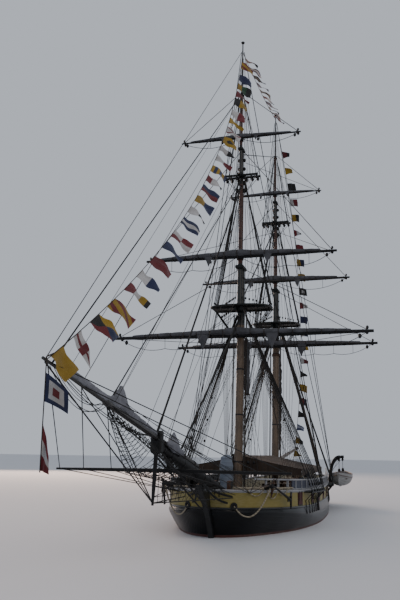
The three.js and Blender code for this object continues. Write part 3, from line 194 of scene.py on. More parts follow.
def gentle(before, here, after):
    """The slope at a row of a table that never lets the curve swing past its rows."""
    a, b = here - before, after - here
    return 0.0 if a * b <= 0 else 2 * a * b / (a + b)


def through(rows, t):
    """The smooth curve through the rows of a table, one unit of t to a row."""
    last = len(rows) - 1
    i = min(max(int(t), 0), last - 1)
    s = t - i
    found = []
    for k in range(len(rows[0])):
        p, q = rows[i][k], rows[i + 1][k]
        before = rows[i - 1][k] if i > 0 else 2 * p - q
        after = rows[i + 2][k] if i + 2 <= last else 2 * q - p
        leave, arrive = gentle(before, p, q), gentle(p, q, after)
        ease = s * s * (3 - 2 * s)
        found.append(lerp(p, q, ease) + s * (1 - s) ** 2 * leave - s * s * (1 - s) * arrive)
    return found


def station(x):
    """The place in PLAN that is x far forward."""
    low, high = 0.0, BOW
    for _ in range(24):
        middle = (low + high) / 2
        if through(PLAN, middle)[0] < x:
            low = middle
        else:
            high = middle
    return low


def half_at(x):
    return through(PLAN, station(x))[1]


def rail_share(up):
    return (up + PLANK) / (RAIL_HEIGHT + PLANK)


def side_point(t, out, up, side=1):
    """A point on the ship's side: t along PLAN, out from the planking and up from the deck."""
    x, half = through(PLAN, t)
    (xa, ya), (xb, yb) = through(PLAN, max(t - 0.05, 0)), through(PLAN, min(t + 0.05, BOW))
    along = Vector((xb - xa, yb - ya)).normalized()
    flare = min(rail_share(up), 1) * (0.3 * max(x - 15, 0) / 2.45 - 0.4 * max((-17 - x) / 1.3, 0))
    return at(x - along.y * out + flare, side * max(half + along.x * out, 0), deck_at(x) + up)


def beside(x, out, up, side):
    return side_point(station(x), out, up, side)


def on_spar(spar, x, over=0.0, y=0.0):
    (x0, z0), (x1, z1) = spar
    return at(x, y, lerp(z0, z1, (x - x0) / (x1 - x0)) + over)


def bow_of(a, b, c, t):
    """The point t along the curve that leaves a towards b and ends at c."""
    return a.lerp(b, t).lerp(b.lerp(c, t), t)


def bent(a, b, c, steps):
    return [bow_of(a, b, c, k / steps) for k in range(steps + 1)]


def hanging(a, b, drop, steps=8):
    """Points of a slack rope from a to b that drops so far in its middle."""
    sag = Vector((0, 0, -drop * SCALE))
    return [a.lerp(b, i / steps) + sag * 4 * (i / steps) * (1 - i / steps) for i in range(steps + 1)]


def around(turn, along, size):
    """Noise on a roll of cloth: turn goes round it and size says how many folds that takes."""
    return noise.noise((along, size * math.cos(turn), size * math.sin(turn)))


def round_end(turn, size, along):
    """The same for a roll that stands up."""
    return noise.noise((size * math.cos(turn), size * math.sin(turn), along))


def near_tie(distance, width):
    """How far cloth is drawn in by a tie that is so far off."""
    return math.exp(-((distance / width) ** 2))


# Shapes


def fabric(along, across, place):
    """A grid laid out by a function of its two shares, which are its UV map too."""
    shape = bmesh.new()
    shape.loops.layers.uv.new("UVMap")
    bmesh.ops.create_grid(shape, x_segments=along, y_segments=across, size=0.5, calc_uvs=True)
    for vert in shape.verts:
        vert.co = place(vert.co.x + 0.5, vert.co.y + 0.5)
    return shape


def shut(shape):
    """Closes the seam and the ends of a rolled-up grid."""
    bmesh.ops.remove_doubles(shape, verts=shape.verts, dist=2e-5)
    bmesh.ops.holes_fill(shape, edges=shape.edges)
    bmesh.ops.recalc_face_normals(shape, faces=shape.faces)
    return shape


def ringed(profile, steps, place):
    """A closed profile of (out, up) carried along by a function of the share, out and up."""
    ring = [*profile, profile[0]]
    return shut(fabric(steps, len(profile), lambda u, v: place(u, *ring[round(v * len(profile))])))


def moulding(profile, start, end, steps, side=1):
    """A closed profile carried along the ship's side from one place in PLAN to another."""
    return ringed(profile, steps, lambda u, out, up: side_point(lerp(start, end, u), out, up, side))


def bar(out0, out1, up0, up1):
    return [(out0, up0), (out1, up0), (out1, up1), (out0, up1)]


def plate(outline, thickness, place):
    """A flat outline of (a, b) points, made thick and put in place by a function of a, b and c."""
    shape = bmesh.new()
    face = shape.faces.new([shape.verts.new((a, b, 0)) for a, b in outline])
    grown = bmesh.ops.extrude_face_region(shape, geom=[face])
    far = [v for v in grown["geom"] if isinstance(v, bmesh.types.BMVert)]
    bmesh.ops.translate(shape, verts=far, vec=(0, 0, thickness))
    for vert in shape.verts:
        vert.co = place(*vert.co)
    bmesh.ops.recalc_face_normals(shape, faces=shape.faces)
    return shape


def soften(shape, by, segments=2):
    edges = list(shape.edges)
    bmesh.ops.bevel(
        shape, geom=edges, offset=by * SCALE, segments=segments, profile=0.5, affect="EDGES", material=-1
    )
    return shape


def block(x0, x1, y0, y1, z0, z1, by=0.02):
    """A box of timber with its edges taken off."""
    shape = bmesh.new()
    bmesh.ops.create_cube(shape, size=1)
    size = Matrix.Diagonal((*(at(x1, y1, z1) - at(x0, y0, z0)), 1))
    middle = Matrix.Translation(at((x0 + x1) / 2, (y0 + y1) / 2, (z0 + z1) / 2))
    bmesh.ops.transform(shape, matrix=middle @ size, verts=shape.verts)
    bmesh.ops.recalc_face_normals(shape, faces=shape.faces)
    return soften(shape, by, 1)


def aim(a, b):
    return Matrix.Translation(a) @ (b - a).to_track_quat("Z", "Y").to_matrix().to_4x4()


def spun(shape, verts, ends, a, b, steps):
    """Spins a profile of verts, joined by edges between ends, and stands it on the line from a to b."""
    edges = [shape.edges.new(pair) for pair in ends]
    bmesh.ops.spin(
        shape, geom=verts + edges, cent=(0, 0, 0), axis=(0, 0, 1), angle=math.tau, steps=steps, use_merge=True
    )
    if len(edges) < len(verts):
        bmesh.ops.remove_doubles(shape, verts=shape.verts, dist=1e-5)
        bmesh.ops.holes_fill(shape, edges=shape.edges)
    bmesh.ops.recalc_face_normals(shape, faces=shape.faces)
    bmesh.ops.transform(shape, matrix=aim(a, b), verts=shape.verts)
    return shape


def turned(a, b, profile, steps=14):
    """A round piece from a to b, turned from a profile of (share of the length, radius) and closed."""
    shape = bmesh.new()
    length = (b - a).length
    closed = [(profile[0][0], 0), *profile, (profile[-1][0], 0)]
    verts = [shape.verts.new((radius * SCALE, 0, share * length)) for share, radius in closed]
    return spun(shape, verts, zip(verts, verts[1:]), a, b, steps)


def stick(a, b, radius, steps=10):
    return turned(a, b, [(0, radius), (1, radius)], steps)


def hoop(a, b, inner, outer, steps=20):
    """A ring round the line from a to b."""
    shape = bmesh.new()
    length = (b - a).length
    corners = [(inner, 0), (outer, 0), (outer, length), (inner, length)]
    verts = [shape.verts.new((radius * SCALE, 0, along)) for radius, along in corners]
    return spun(shape, verts, zip(verts, [*verts[1:], verts[0]]), a, b, steps)


def ropes(lines, sides=6):
    """Round ropes, each a list of points and a radius."""
    data = bpy.data.curves.new("ropes", "CURVE")
    data.dimensions = "3D"
    data.bevel_depth = 1
    data.bevel_resolution = (sides - 4) // 2
    data.use_fill_caps = True
    for points, radius in lines:
        spline = data.splines.new("POLY")
        spline.points.add(len(points) - 1)
        for knot, point in zip(spline.points, points):
            knot.co = (*point, 1)
            knot.radius = radius * SCALE
    holder = bpy.data.objects.new("ropes", data)
    mesh = bpy.data.meshes.new_from_object(holder)
    shape = bmesh.new()
    shape.from_mesh(mesh)
    bmesh.ops.remove_doubles(shape, verts=shape.verts, dist=1e-6)
    for datum in (holder, data, mesh):
        bpy.data.batch_remove([datum])
    return shape


def pulleys(places):
    """Rope blocks, each an egg of elm as high as its size."""
    shape = bmesh.new()
    for place, size in places:
        form = Matrix.Diagonal((size * 0.3 * SCALE, size * 0.36 * SCALE, size * 0.5 * SCALE, 1))
        matrix = Matrix.Translation(place) @ form
        bmesh.ops.create_uvsphere(shape, u_segments=8, v_segments=6, radius=1, matrix=matrix)
    return shape


class Part:
    """A piece of the ship, put together from shapes that have a finish each."""

    def __init__(self, name, body="root"):
        self.name = name
        self.body = body
        self.mesh = bmesh.new()
        self.mesh.loops.layers.uv.new("UVMap")
        self.finishes = []

    def add(self, shape, finish):
        """Takes in a shape. finish is a material, or gives the material for each face."""
        for face in shape.faces:
            chosen = finish(face) if callable(finish) else finish
            if chosen not in self.finishes:
                self.finishes.append(chosen)
            face.material_index = self.finishes.index(chosen)
            face.smooth = True
        step = bpy.data.meshes.new("step")
        shape.to_mesh(step)
        shape.free()
        self.mesh.from_mesh(step)
        bpy.data.meshes.remove(step)

    def block(self, finish, *corners):
        self.add(block(*corners), finish)

    def ropes(self, finish, lines, sides=4):
        self.add(ropes(lines, sides), finish)

    def done(self, *replaced, sharp=38):
        data = bpy.data.meshes.new(self.name)
        self.mesh.to_mesh(data)
        self.mesh.free()
        data.set_sharp_from_angle(angle=math.radians(sharp))
        for finish in self.finishes:
            data.materials.append(finish)
        piece = put(self.name, data)
        if self.body:
            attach(piece, self.body)
        if replaced:
            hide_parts(*replaced)
        return piece


# Finishes

NIL = (0, 0, 0, 1)
FULL = (1, 1, 1, 1)
SPAR_TOP = 40.0  # height that the colour bands of a spar are shares of


def colour(code):
    """An sRGB hex colour as linear light."""
    parts = [int(code[i : i + 2], 16) / 255 for i in (0, 2, 4)]
    return (*(c / 12.92 if c <= 0.04045 else ((c + 0.055) / 1.055) ** 2.4 for c in parts), 1)


def add(tree, kind, sockets=(), stops=(), out=0, **settings):
    """Adds a shader node, fills its sockets with values or other nodes' outputs, and gives an output."""
    node = tree.nodes.new("ShaderNode" + kind)
    for name, value in settings.items():
        setattr(node, name, value)
    for socket, value in dict(sockets).items():
        if isinstance(value, bpy.types.NodeSocket):
            tree.links.new(value, node.inputs[socket])
        else:
            node.inputs[socket].default_value = value
    if stops:
        elements = node.color_ramp.elements
        while len(elements) < len(stops):
            elements.new(1)
        for element, (place, shade) in zip(elements, stops):
            element.position = place
            element.color = shade
    return node.outputs[out]


def begin(name, slot, roughness, **values):
    """A new material and its nodes, with what is the same all over set on the shader."""
    material = bpy.data.materials.new(name)
    material.use_nodes = True
    material["slot"] = slot
    shader = material.node_tree.nodes["Principled BSDF"]
    for socket, value in {"Roughness": roughness, **values}.items():
        shader.inputs[socket.replace("_", " ")].default_value = value
    return material, material.node_tree


def coated(material, coat, height, strength, distance):
    """Gives a material its colour and its relief."""
    tree = material.node_tree
    shader = tree.nodes["Principled BSDF"]
    bump = add(tree, "Bump", {"Height": height, "Strength": strength, "Distance": distance})
    tree.links.new(coat, shader.inputs["Base Color"])
    tree.links.new(bump, shader.inputs["Normal"])
    return material


def seams(tree, rows, stops):
    """A ramp from each whole number of rows, where two planks or cloths meet, to the middle between."""
    edge = add(tree, "Math", {0: rows, 1: 0.5}, operation="PINGPONG")
    return add(tree, "ValToRGB", {"Fac": edge}, stops)


def oil_paint(name, slot, paint, chalked, roughness=0.45, grain=(1, 1, 1), planks=0, gloss=0.5):
    """Oil paint brushed on timber: an even coat, chalked and streaked by salt, over grain and seams."""
    material, tree = begin(name, slot, roughness, Specular_IOR_Level=gloss)
    place = add(tree, "TexCoord", out="Object")
    stretched = add(tree, "Mapping", {"Vector": place, "Scale": grain})
    patches = add(tree, "TexNoise", {"Vector": place, "Scale": 1.3, "Detail": 5.0})
    streaks = add(tree, "TexNoise", {"Vector": stretched, "Scale": 9.0, "Detail": 4.0})
    both = add(tree, "Math", {0: patches, 1: streaks}, operation="MULTIPLY")
    wear = add(tree, "ValToRGB", {"Fac": both}, [(0.2, NIL), (0.45, FULL)])
    coat = add(tree, "Mix", {0: wear, 6: colour(paint), 7: colour(chalked)}, out=2, data_type="RGBA")
    height = streaks
    if planks:
        across = add(tree, "SeparateXYZ", {0: add(tree, "TexCoord", out="UV")}, out="Y")
        rows = add(tree, "Math", {0: across, 1: planks}, operation="MULTIPLY")
        seam = seams(tree, rows, [(0.02, NIL), (0.07, FULL)])
        dark = add(tree, "Math", {0: seam, 1: 0.45, 2: 0.55}, operation="MULTIPLY_ADD")
        coat = add(tree, "VectorMath", {0: coat, 1: dark}, operation="MULTIPLY")
        height = add(tree, "Math", {0: streaks, 1: 0.3, 2: seam}, operation="MULTIPLY_ADD")
    return coated(material, coat, height, 0.35, 0.01)


def spar_paint(name, slot, bands, roughness=0.42):
    """Painted or oiled spars, in bands of colour by height with the grain along the spar."""
    material, tree = begin(name, slot, roughness)
    place = add(tree, "TexCoord", out="Object")
    height = add(tree, "SeparateXYZ", {0: place}, out="Z")
    share = add(tree, "Math", {0: height, 1: SPAR_TOP * SCALE}, operation="DIVIDE")
    base = add(tree, "ValToRGB", {"Fac": share}, [(z / SPAR_TOP, colour(code)) for z, code in bands])
    base.node.color_ramp.interpolation = "CONSTANT"
    along = add(tree, "Mapping", {"Vector": place, "Scale": (1, 1, 0.06)})
    grain = add(tree, "TexNoise", {"Vector": along, "Scale": 24.0, "Detail": 4.0})
    patches = add(tree, "TexNoise", {"Vector": place, "Scale": 2.0, "Detail": 3.0})
    both = add(tree, "Math", {0: grain, 1: patches}, operation="MULTIPLY")
    dirt = add(tree, "ValToRGB", {"Fac": both}, [(0.15, (0.5, 0.48, 0.46, 1)), (0.34, FULL)])
    coat = add(tree, "VectorMath", {0: base, 1: dirt}, operation="MULTIPLY")
    return coated(material, coat, grain, 0.25, 0.008)


def copper_sheets():
    """Copper sheathing under water, in nailed sheets that have gone brown with green patches."""
    material, tree = begin("copper_sheets", "copper_sheathing", 0.5, Metallic=0.55)
    sized = add(tree, "Mapping", {"Vector": add(tree, "TexCoord", out="UV"), "Scale": (34, 15, 1)})
    colours = {"Color1": colour("7a4a37"), "Color2": colour("5e3a30"), "Mortar": colour("2f211d")}
    laid = {"Scale": 1.0, "Mortar Size": 0.03, "Brick Width": 1.0, "Row Height": 0.5}
    sheets = add(tree, "TexBrick", {"Vector": sized, **colours, **laid})
    place = add(tree, "TexCoord", out="Object")
    patches = add(tree, "TexNoise", {"Vector": place, "Scale": 1.1, "Detail": 6.0})
    green = add(tree, "ValToRGB", {"Fac": patches}, [(0.48, NIL), (0.66, FULL)])
    coat = add(tree, "Mix", {0: green, 6: sheets, 7: colour("4c6658")}, out=2, data_type="RGBA")
    return coated(material, coat, sheets.node.outputs["Fac"], 0.4, 0.006)


def scrubbed_planks(name, slot, wood, weathered, width):
    """Softwood planks laid fore and aft, scrubbed pale, with dark pitch between them."""
    material, tree = begin(name, slot, 0.7)
    place = add(tree, "TexCoord", out="Object")
    across = add(tree, "SeparateXYZ", {0: place}, out="Y")
    rows = add(tree, "Math", {0: across, 1: width * SCALE}, operation="DIVIDE")
    pitch = seams(tree, rows, [(0.03, NIL), (0.07, FULL)])
    plank = add(tree, "Math", {0: rows}, operation="ROUND")
    tone = add(tree, "TexWhiteNoise", {"W": plank}, noise_dimensions="1D")
    along = add(tree, "Mapping", {"Vector": place, "Scale": (0.12, 1, 1)})
    grain = add(tree, "TexNoise", {"Vector": along, "Scale": 30.0, "Detail": 5.0})
    share = add(tree, "Math", {0: tone, 1: grain}, operation="MULTIPLY")
    bare = add(tree, "Mix", {0: share, 6: colour(wood), 7: colour(weathered)}, out=2, data_type="RGBA")
    coat = add(tree, "Mix", {0: pitch, 6: colour("1a1715"), 7: bare}, out=2, data_type="RGBA")
    return coated(material, coat, pitch, 0.3, 0.006)


def laid_rope(name, slot, fibre, shade):
    """Three-strand hemp, its strands drawn four times as coarse as they are so that they show; the second
    colour is painted shade in the grooves between the strands.
    """
    material, tree = begin(name, slot, 0.85)
    wave = {"Vector": add(tree, "TexCoord", out="Object"), "Scale": 9.0, "Distortion": 1.5, "Detail": 2.0}
    strands = add(tree, "TexWave", wave, bands_direction="DIAGONAL")
    # painted shade: the darker colour lies in the grooves between the strands
    coat = add(tree, "Mix", {0: strands, 6: colour(shade), 7: colour(fibre)}, out=2, data_type="RGBA")
    return coated(material, coat, strands, 0.5, 0.004)


def flax_canvas(name, slot, cloth, stained, cloths=0):
    """Flax canvas: a coarse dull weave, damp-stained, sewn from cloths 0.6 m wide."""
    material, tree = begin(name, slot, 0.9)
    place = add(tree, "TexCoord", out="Object")
    weave = add(tree, "TexChecker", {"Vector": place, "Scale": 180.0}, out=1)
    stains = add(tree, "TexNoise", {"Vector": place, "Scale": 1.7, "Detail": 6.0, "Roughness": 0.65})
    damp = add(tree, "ValToRGB", {"Fac": stains}, [(0.35, NIL), (0.7, FULL)])
    coat = add(tree, "Mix", {0: damp, 6: colour(cloth), 7: colour(stained)}, out=2, data_type="RGBA")
    height = add(tree, "Math", {0: stains, 1: 3.0, 2: weave}, operation="MULTIPLY_ADD")
    if cloths:
        along = add(tree, "SeparateXYZ", {0: add(tree, "TexCoord", out="UV")}, out="X")
        rows = add(tree, "Math", {0: along, 1: cloths}, operation="MULTIPLY")
        seam = seams(tree, rows, [(0.03, (0.6, 0.6, 0.6, 1)), (0.06, FULL)])
        coat = add(tree, "VectorMath", {0: coat, 1: seam}, operation="MULTIPLY")
    return coated(material, coat, height, 0.25, 0.003)


def patchy(name, slot, roughness, noise_size, shades, relief, **values):
    """A smooth coat that turns in patches from one of its (stop, colour) shades to the other."""
    material, tree = begin(name, slot, roughness, **values)
    scale, detail = noise_size
    place = add(tree, "TexCoord", out="Object")
    patches = add(tree, "TexNoise", {"Vector": place, "Scale": scale, "Detail": detail})
    coat = add(tree, "ValToRGB", {"Fac": patches}, [(stop, colour(code)) for stop, code in shades])
    return coated(material, coat, patches, *relief)


# Black hull paint has a soft gloss, fittings are duller, and each chalks a little with salt
HULL_BLACK = oil_paint("black_topsides", "black_paint", "050608", "0e1116", 0.3, (0.25, 1, 3), 15, 0.25)
WALE_BLACK = oil_paint("black_wales", "black_paint", "060709", "111418", 0.3, (0.2, 1, 3))
BLACK_TRIM = oil_paint("black_fittings", "black_paint", "090a0c", "141618", 0.55, gloss=0.3)
SPAR_BLACK = oil_paint("black_yards", "black_paint", "08090b", "121315", 0.6, (1, 0.1, 1), gloss=0.3)
GREEN_TOP = oil_paint("dark_green_tops", "dark_green_paint", "090d0d", "131919", 0.55, gloss=0.3)
# Flat band and lining colours, with the seams of the planks showing through
OCHRE = oil_paint("ochre_band", "ochre_paint", "756a2e", "82784a", 0.55, (0.25, 1, 3), 4)
CREAM = oil_paint("cream_lining", "white_paint", "8f8a76", "7c7766", 0.55, (0.25, 1, 3), 6)
RAIL_WHITE = oil_paint("white_rails", "white_paint", "86878a", "606266", 0.5, (0.25, 1, 2))
PANEL_BLUE = oil_paint("blue_boards", "blue_paint", "141d33", "1d2740", 0.5, (0.25, 1, 2))
LID_RED = oil_paint("red_port_lids", "red_paint", "3f1013", "45201f", 0.6, gloss=0.25)
BOOT_RED = oil_paint("red_boot_line", "red_paint", "4f2b27", "5f4a45", 0.55)
BOAT_WHITE = oil_paint("boat_white", "white_paint", "838484", "6b6c6a", 0.45, (0.2, 1, 2), 9)
BOAT_RED = oil_paint("boat_red", "red_paint", "3d1817", "4a2723", 0.45)
COPPER = copper_sheets()
# Bare softwood goes grey and dull, and oiled teak stays dark and warm
DECK = scrubbed_planks("deck_planking", "deck_planks", "7c6a50", "63543f", 0.16)
OILED = scrubbed_planks("oiled_teak", "varnished_wood", "472c1a", "2e1e12", 0.12)
# Standing rigging is black with tar, running rigging brown, and warps are pale and new
TARRED = laid_rope("tarred_hemp", "tarred_rope", "0d0c0c", "050505")
HEMP = laid_rope("running_hemp", "hemp_rope", "30261d", "18130f")
PALE_ROPE = laid_rope("new_manila", "hemp_rope", "938a78", "6d6556")
# Sails in shade are slate grey with damp folds, and the awning is tanned brown
SAIL = flax_canvas("furled_canvas", "canvas", "4e4f54", "2c2d30")
JIB_CANVAS = flax_canvas("jib_canvas", "canvas", "787a82", "43454b")
WINDSAIL = flax_canvas("windsail_canvas", "canvas", "6d7683", "4e5764", 9)
AWNING_CLOTH = flax_canvas("awning_canvas", "brown_canvas", "3a2d24", "241c17", 11)
TARPAULIN = flax_canvas("tarpaulin", "blue_paint", "161b25", "0d1017")
# Wrought iron under black paint bleeds rust, and crown glass is dark and a little wavy
rusty, wavy = [(0.55, "1b1c1f"), (0.8, "4a2c20")], [(0, "10161c"), (1, "2b3740")]
IRON = patchy("wrought_iron", "ironwork", 0.5, (14.0, 6.0), rusty, (0.3, 0.004), Metallic=0.6)
GLASS = patchy("crown_glass", "black_paint", 0.08, (5.0, 1.0), wavy, (0.15, 0.01))
# Masts are buff below and oiled brown above, and green-black where two spars lie side by side
BUFF, OIL_BROWN, DOUBLING, POLE_BLACK = "685644", "4a2a22", "121818", "111415"
SPAR_BROWN = spar_paint("oiled_jibboom", "varnished_wood", [(0, "262423")])
SPAR_BUFF = spar_paint("buff_spars", "buff_paint", [(0, BUFF)])
STEM_PAINT = spar_paint("stem_paint", "copper_sheathing", [(0, "0d0e11")], 0.45)
for mast in MASTS:
    mast.paint = spar_paint(mast.name + "_mast_paint", "buff_paint", [(0, BUFF), (mast.top - 1.4, DOUBLING)])
    oiled = [(0, DOUBLING), (mast.cap + 0.35, OIL_BROWN), (mast.crosstrees - 0.7, POLE_BLACK)]
    mast.topmast_paint = spar_paint(mast.name + "_topmast_oil", "varnished_wood", oiled)
    oiled = [(0, POLE_BLACK), (mast.topmast_cap + 0.3, OIL_BROWN), (mast.hounds - 0.3, "0d0f13")]
    mast.pole_paint = spar_paint(mast.name + "_pole_oil", "buff_paint", oiled)


# Hull

KEEL_TURN, WIDEST, DECK_EDGE = 0.04, 0.84, 0.92  # shares of the girth, from the keel's middle up
WATER_EDGE = -0.02
BOOT_TOP = 0.14  # height of the light line over the water


def hull_point(u, v):
    """The port half of the hull: u from stern to bow, v from the keel up round to the deck's middle."""
    x, keel, wide, fullness = through(SECTIONS, u * (len(SECTIONS) - 1))
    half = lerp(half_at(x), STEM_HALF, max(x - 17.2, 0) / 0.22)
    deck = deck_at(x) - PLANK
    if v < KEEL_TURN:
        return at(x, BEAM_KEEL * v / KEEL_TURN, keel)
    if v <= WIDEST:
        s = (v - KEEL_TURN) / 0.8
        swell = (1 - (1 - min(s, 1)) ** fullness) ** (1 / fullness)
        return at(x, lerp(BEAM_KEEL, half + BULGE, swell), lerp(keel, wide, s))
    if v <= DECK_EDGE:
        s = (v - WIDEST) / 0.08
        return at(x, half + BULGE * (1 - s * s), lerp(wide, deck, s))
    return at(x, half * (1 - (v - DECK_EDGE) / 0.08), deck)


def below(face, z):
    return face.calc_center_median().z < z * SCALE


def hull_finish(face):
    """Copper under water, the boot line along it and black above."""
    if below(face, WATER_EDGE):
        return COPPER
    return BOOT_RED if below(face, BOOT_TOP) else HULL_BLACK


def whole(shape):
    return shape.verts[:] + shape.edges[:] + shape.faces[:]


def hull():
    part = Part("hull_planking")
    shape = fabric(136, 50, hull_point)
    bmesh.ops.mirror(shape, geom=whole(shape), axis="Y", merge_dist=1e-5)
    shut(shape)
    for z in (WATER_EDGE, BOOT_TOP):
        bmesh.ops.bisect_plane(shape, geom=whole(shape), plane_co=at(0, 0, z), plane_no=(0, 0, 1))
    part.add(shape, hull_finish)
    part.done("hull", sharp=50)


# Bulwark, rails and deck

LID_X = [11, 7.7, 4.4, 1.1, -2.2, -5.5, -12.1]
LID_HALF = 0.38
STERN_RAKE = 0.4  # how far the transom leans aft from the deck to the rail
UNDER_CAP = RAIL_HEIGHT - CAP
HAWSE_X = 16.9


def on_stern(out, y, up):
    """A point on the transom: out from its planking, and up from the deck."""
    return at(STERN_X - out - STERN_RAKE * min(rail_share(up), 1), y, deck_at(STERN_X) + up)


def all_round(part, profile, finish):
    """Carries a profile round the ship: along both sides and straight across the transom."""
    for side in HANDS:
        part.add(moulding(profile, 0, BOW, 96, side), finish)
    across = ringed(profile, 24, lambda u, out, up: on_stern(out, (2 * u - 1) * (STERN_HALF + out), up))
    part.add(across, finish)


def panel(x, half, profile, steps, side):
    """A board on the ship's side that reaches half its length to each hand of x."""
    return moulding(profile, station(x - half), station(x + half), steps, side)


def port_lid(part, x, side):
    """A gun-port lid, shut: black frame, red boards and two iron hinge straps."""
    part.add(panel(x, LID_HALF + 0.06, bar(-0.02, 0.02, 0.04, 0.9), 3, side), BLACK_TRIM)
    part.add(soften(panel(x, LID_HALF, bar(0, 0.045, 0.1, 0.84), 3, side), 0.008, 1), LID_RED)
    for shift in (-0.22, 0.22):
        part.add(panel(x + shift, 0.03, bar(0.03, 0.065, 0.3, 0.92), 1, side), IRON)


def transom_light(part, y):
    """A stern window of six panes in a white sash."""
    for a0, a1, b0, b1, depth, finish in (
        (-0.36, 0.36, 0.2, 0.78, 0.03, RAIL_WHITE),
        (-0.3, 0.3, 0.26, 0.72, 0.034, GLASS),
        (-0.11, -0.09, 0.26, 0.72, 0.05, RAIL_WHITE),
        (0.09, 0.11, 0.26, 0.72, 0.05, RAIL_WHITE),
        (-0.3, 0.3, 0.48, 0.5, 0.05, RAIL_WHITE),
    ):
        part.add(plate(bar(a0, a1, b0, b1), depth, lambda a, b, c: on_stern(c, y + a, b)), finish)


def bulwark():
    part = Part("bulwark_planking")
    high = UNDER_CAP
    all_round(part, bar(-0.059, 0, -PLANK, high), OCHRE)
    all_round(part, bar(-WALL, -0.061, -PLANK, high), CREAM)
    all_round(part, [(0, -0.1), (0.05, -0.09), (0.065, -0.04), (0.05, 0.01), (0, 0.02)], WALE_BLACK)
    under = [(0, high - 0.07), (0.035, high - 0.06), (0.05, high - 0.02), (0.05, high), (0, high)]
    all_round(part, under, RAIL_WHITE)
    rounded = [(CAP - 0.02, high), (CAP, high + 0.03), (CAP, high + 0.06), (CAP - 0.02, RAIL_HEIGHT)]
    all_round(part, [*rounded, *[(-WALL - out, up) for out, up in reversed(rounded)]], RAIL_WHITE)
    for side in HANDS:
        for x in LID_X:
            port_lid(part, x, side)
        part.add(panel(12.775, 0.175, bar(-0.02, 0.03, 0.32, 0.62), 2, side), BLACK_TRIM)
        hawse = beside(HAWSE_X, 0.03, 0.1, side)
        outward = at(0.88, 0.47 * side, 0)
        part.add(hoop(hawse - outward * 0.03, hawse + outward * 0.07, 0.11, 0.2), BLACK_TRIM)
        part.add(stick(hawse, hawse + outward * 0.02, 0.12), TARRED)
    for y in (-1.65, -0.55, 0.55, 1.65):
        transom_light(part, y)
    part.done("bulwark", sharp=32)


RAIL_MIDDLE = RAIL_HEIGHT + UPPER_RAIL
POSTS = [*(12.8 - 1.1 * i for i in range(19)), 15, 13.9, -9.6, -11, -12.6, -14.2, -16, -17.6]
AWNING_POSTS = [8.9, 4.3, -0.5, -2.9]
AWNING = SimpleNamespace(ahead=9.3, aft=-3.3, ridge=4.57, eave=3.75, hem=3.3)


def awning_half(x):
    return half_at(x) - WALL / 2 - 0.3


def upper_rail(label, side):
    part = Part("upper_rail_white_" + label)
    lower = [(-0.14, -0.03), (-0.1, -0.05), (-0.02, -0.05), (0.02, -0.03)]
    upper = [(0.02, 0.02), (-0.02, 0.05), (-0.1, 0.05), (-0.14, 0.02)]
    section = [(out, RAIL_MIDDLE + up) for out, up in lower + upper]
    part.add(moulding(section, station(-18.2), station(15.8), 80, side), RAIL_WHITE)
    boards = station(-7), station(12.2)
    for out0, out1, up0, up1, finish in (
        (-0.085, -0.035, RAIL_HEIGHT + 0.06, RAIL_MIDDLE - 0.04, PANEL_BLUE),
        (-0.1, -0.02, RAIL_HEIGHT + 0.03, RAIL_HEIGHT + 0.08, RAIL_WHITE),
    ):
        part.add(moulding(bar(out0, out1, up0, up1), *boards, 48, side), finish)
    for t in map(station, POSTS):
        post = bar(-0.12, 0, RAIL_HEIGHT - 0.01, RAIL_MIDDLE - 0.03)
        part.add(moulding(post, t - 0.02, t + 0.02, 1, side), RAIL_WHITE)
    for x in AWNING_POSTS:
        y = side * awning_half(x)
        low = deck_at(x) + RAIL_MIDDLE
        part.add(stick(at(x, y, low - 0.04), at(x, y, AWNING.hem - 0.002), 0.035), RAIL_WHITE)
        reach = sorted((y, side * (half_at(x) - WALL / 2)))
        part.block(RAIL_WHITE, x - 0.03, x + 0.03, *reach, low - 0.04, low + 0.03, 0.008)
    part.done("upper_rail_" + label)


def deck_point(u, v):
    x = lerp(-18.2, 17.3, u)
    inside = max(half_at(x) - WALL - 0.01, 0.05)
    return at(x, lerp(-inside, inside, v), deck_at(x))


def deck():
    part = Part("deck_planking")
    shape = fabric(110, 16, deck_point)
    bmesh.ops.solidify(shape, geom=shape.faces[:], thickness=PLANK * SCALE * 0.9)
    bmesh.ops.recalc_face_normals(shape, faces=shape.faces)
    part.add(shape, DECK)
    part.done("deck")


COAMINGS = [
    # x from, x to, half width, height over the deck, grated
    (6.4, 8.0, 0.75, 0.4, True),
    (1.2, 4.2, 1.1, 0.42, True),
    (-2.9, -1.2, 0.6, 0.95, False),
    (-8.2, -5.9, 0.7, 0.75, False),
    (-11.9, -10.2, 0.65, 1.0, False),
    (11.3, 12.5, 0.6, 0.8, False),
]
BAR_STEP = 0.16  # from one bar of a grating to the next
WHEEL_X = -14.3
AXLE_Z = deck_at(WHEEL_X) + 1.0


def coaming(part, x0, x1, half, height, grated):
    """A hatch: framed sides with a grating, or a low house with a sliding lid."""
    low, high = deck_at((x0 + x1) / 2), deck_at(x1) + height
    for hand in HANDS:
        part.block(OILED, x0, x1, *sorted((hand * half, hand * (half - 0.09))), low, high)
    for a in (x0, x1 - 0.09):
        part.block(OILED, a, a + 0.09, -half, half, low, high)
    part.block(BLACK_TRIM, x0 + 0.05, x1 - 0.05, -half + 0.05, half - 0.05, low, high - 0.05)
    if not grated:
        part.block(OILED, x0 - 0.03, x1 + 0.03, -half - 0.03, half + 0.03, high - 0.04, high)
        part.block(DECK, x0 + 0.1, x1 - 0.1, -half * 0.6, half * 0.6, high - 0.01, high + 0.035)
        return
    for i in range(1, int((x1 - x0) / BAR_STEP)):
        x = x0 + BAR_STEP * i
        part.block(OILED, x - 0.03, x + 0.03, -half, half, high - 0.06, high - 0.01, 0.005)
    for i in range(1, int(2 * half / BAR_STEP)):
        y = -half + BAR_STEP * i
        part.block(OILED, x0, x1, y - 0.03, y + 0.03, high - 0.05, high, 0.005)


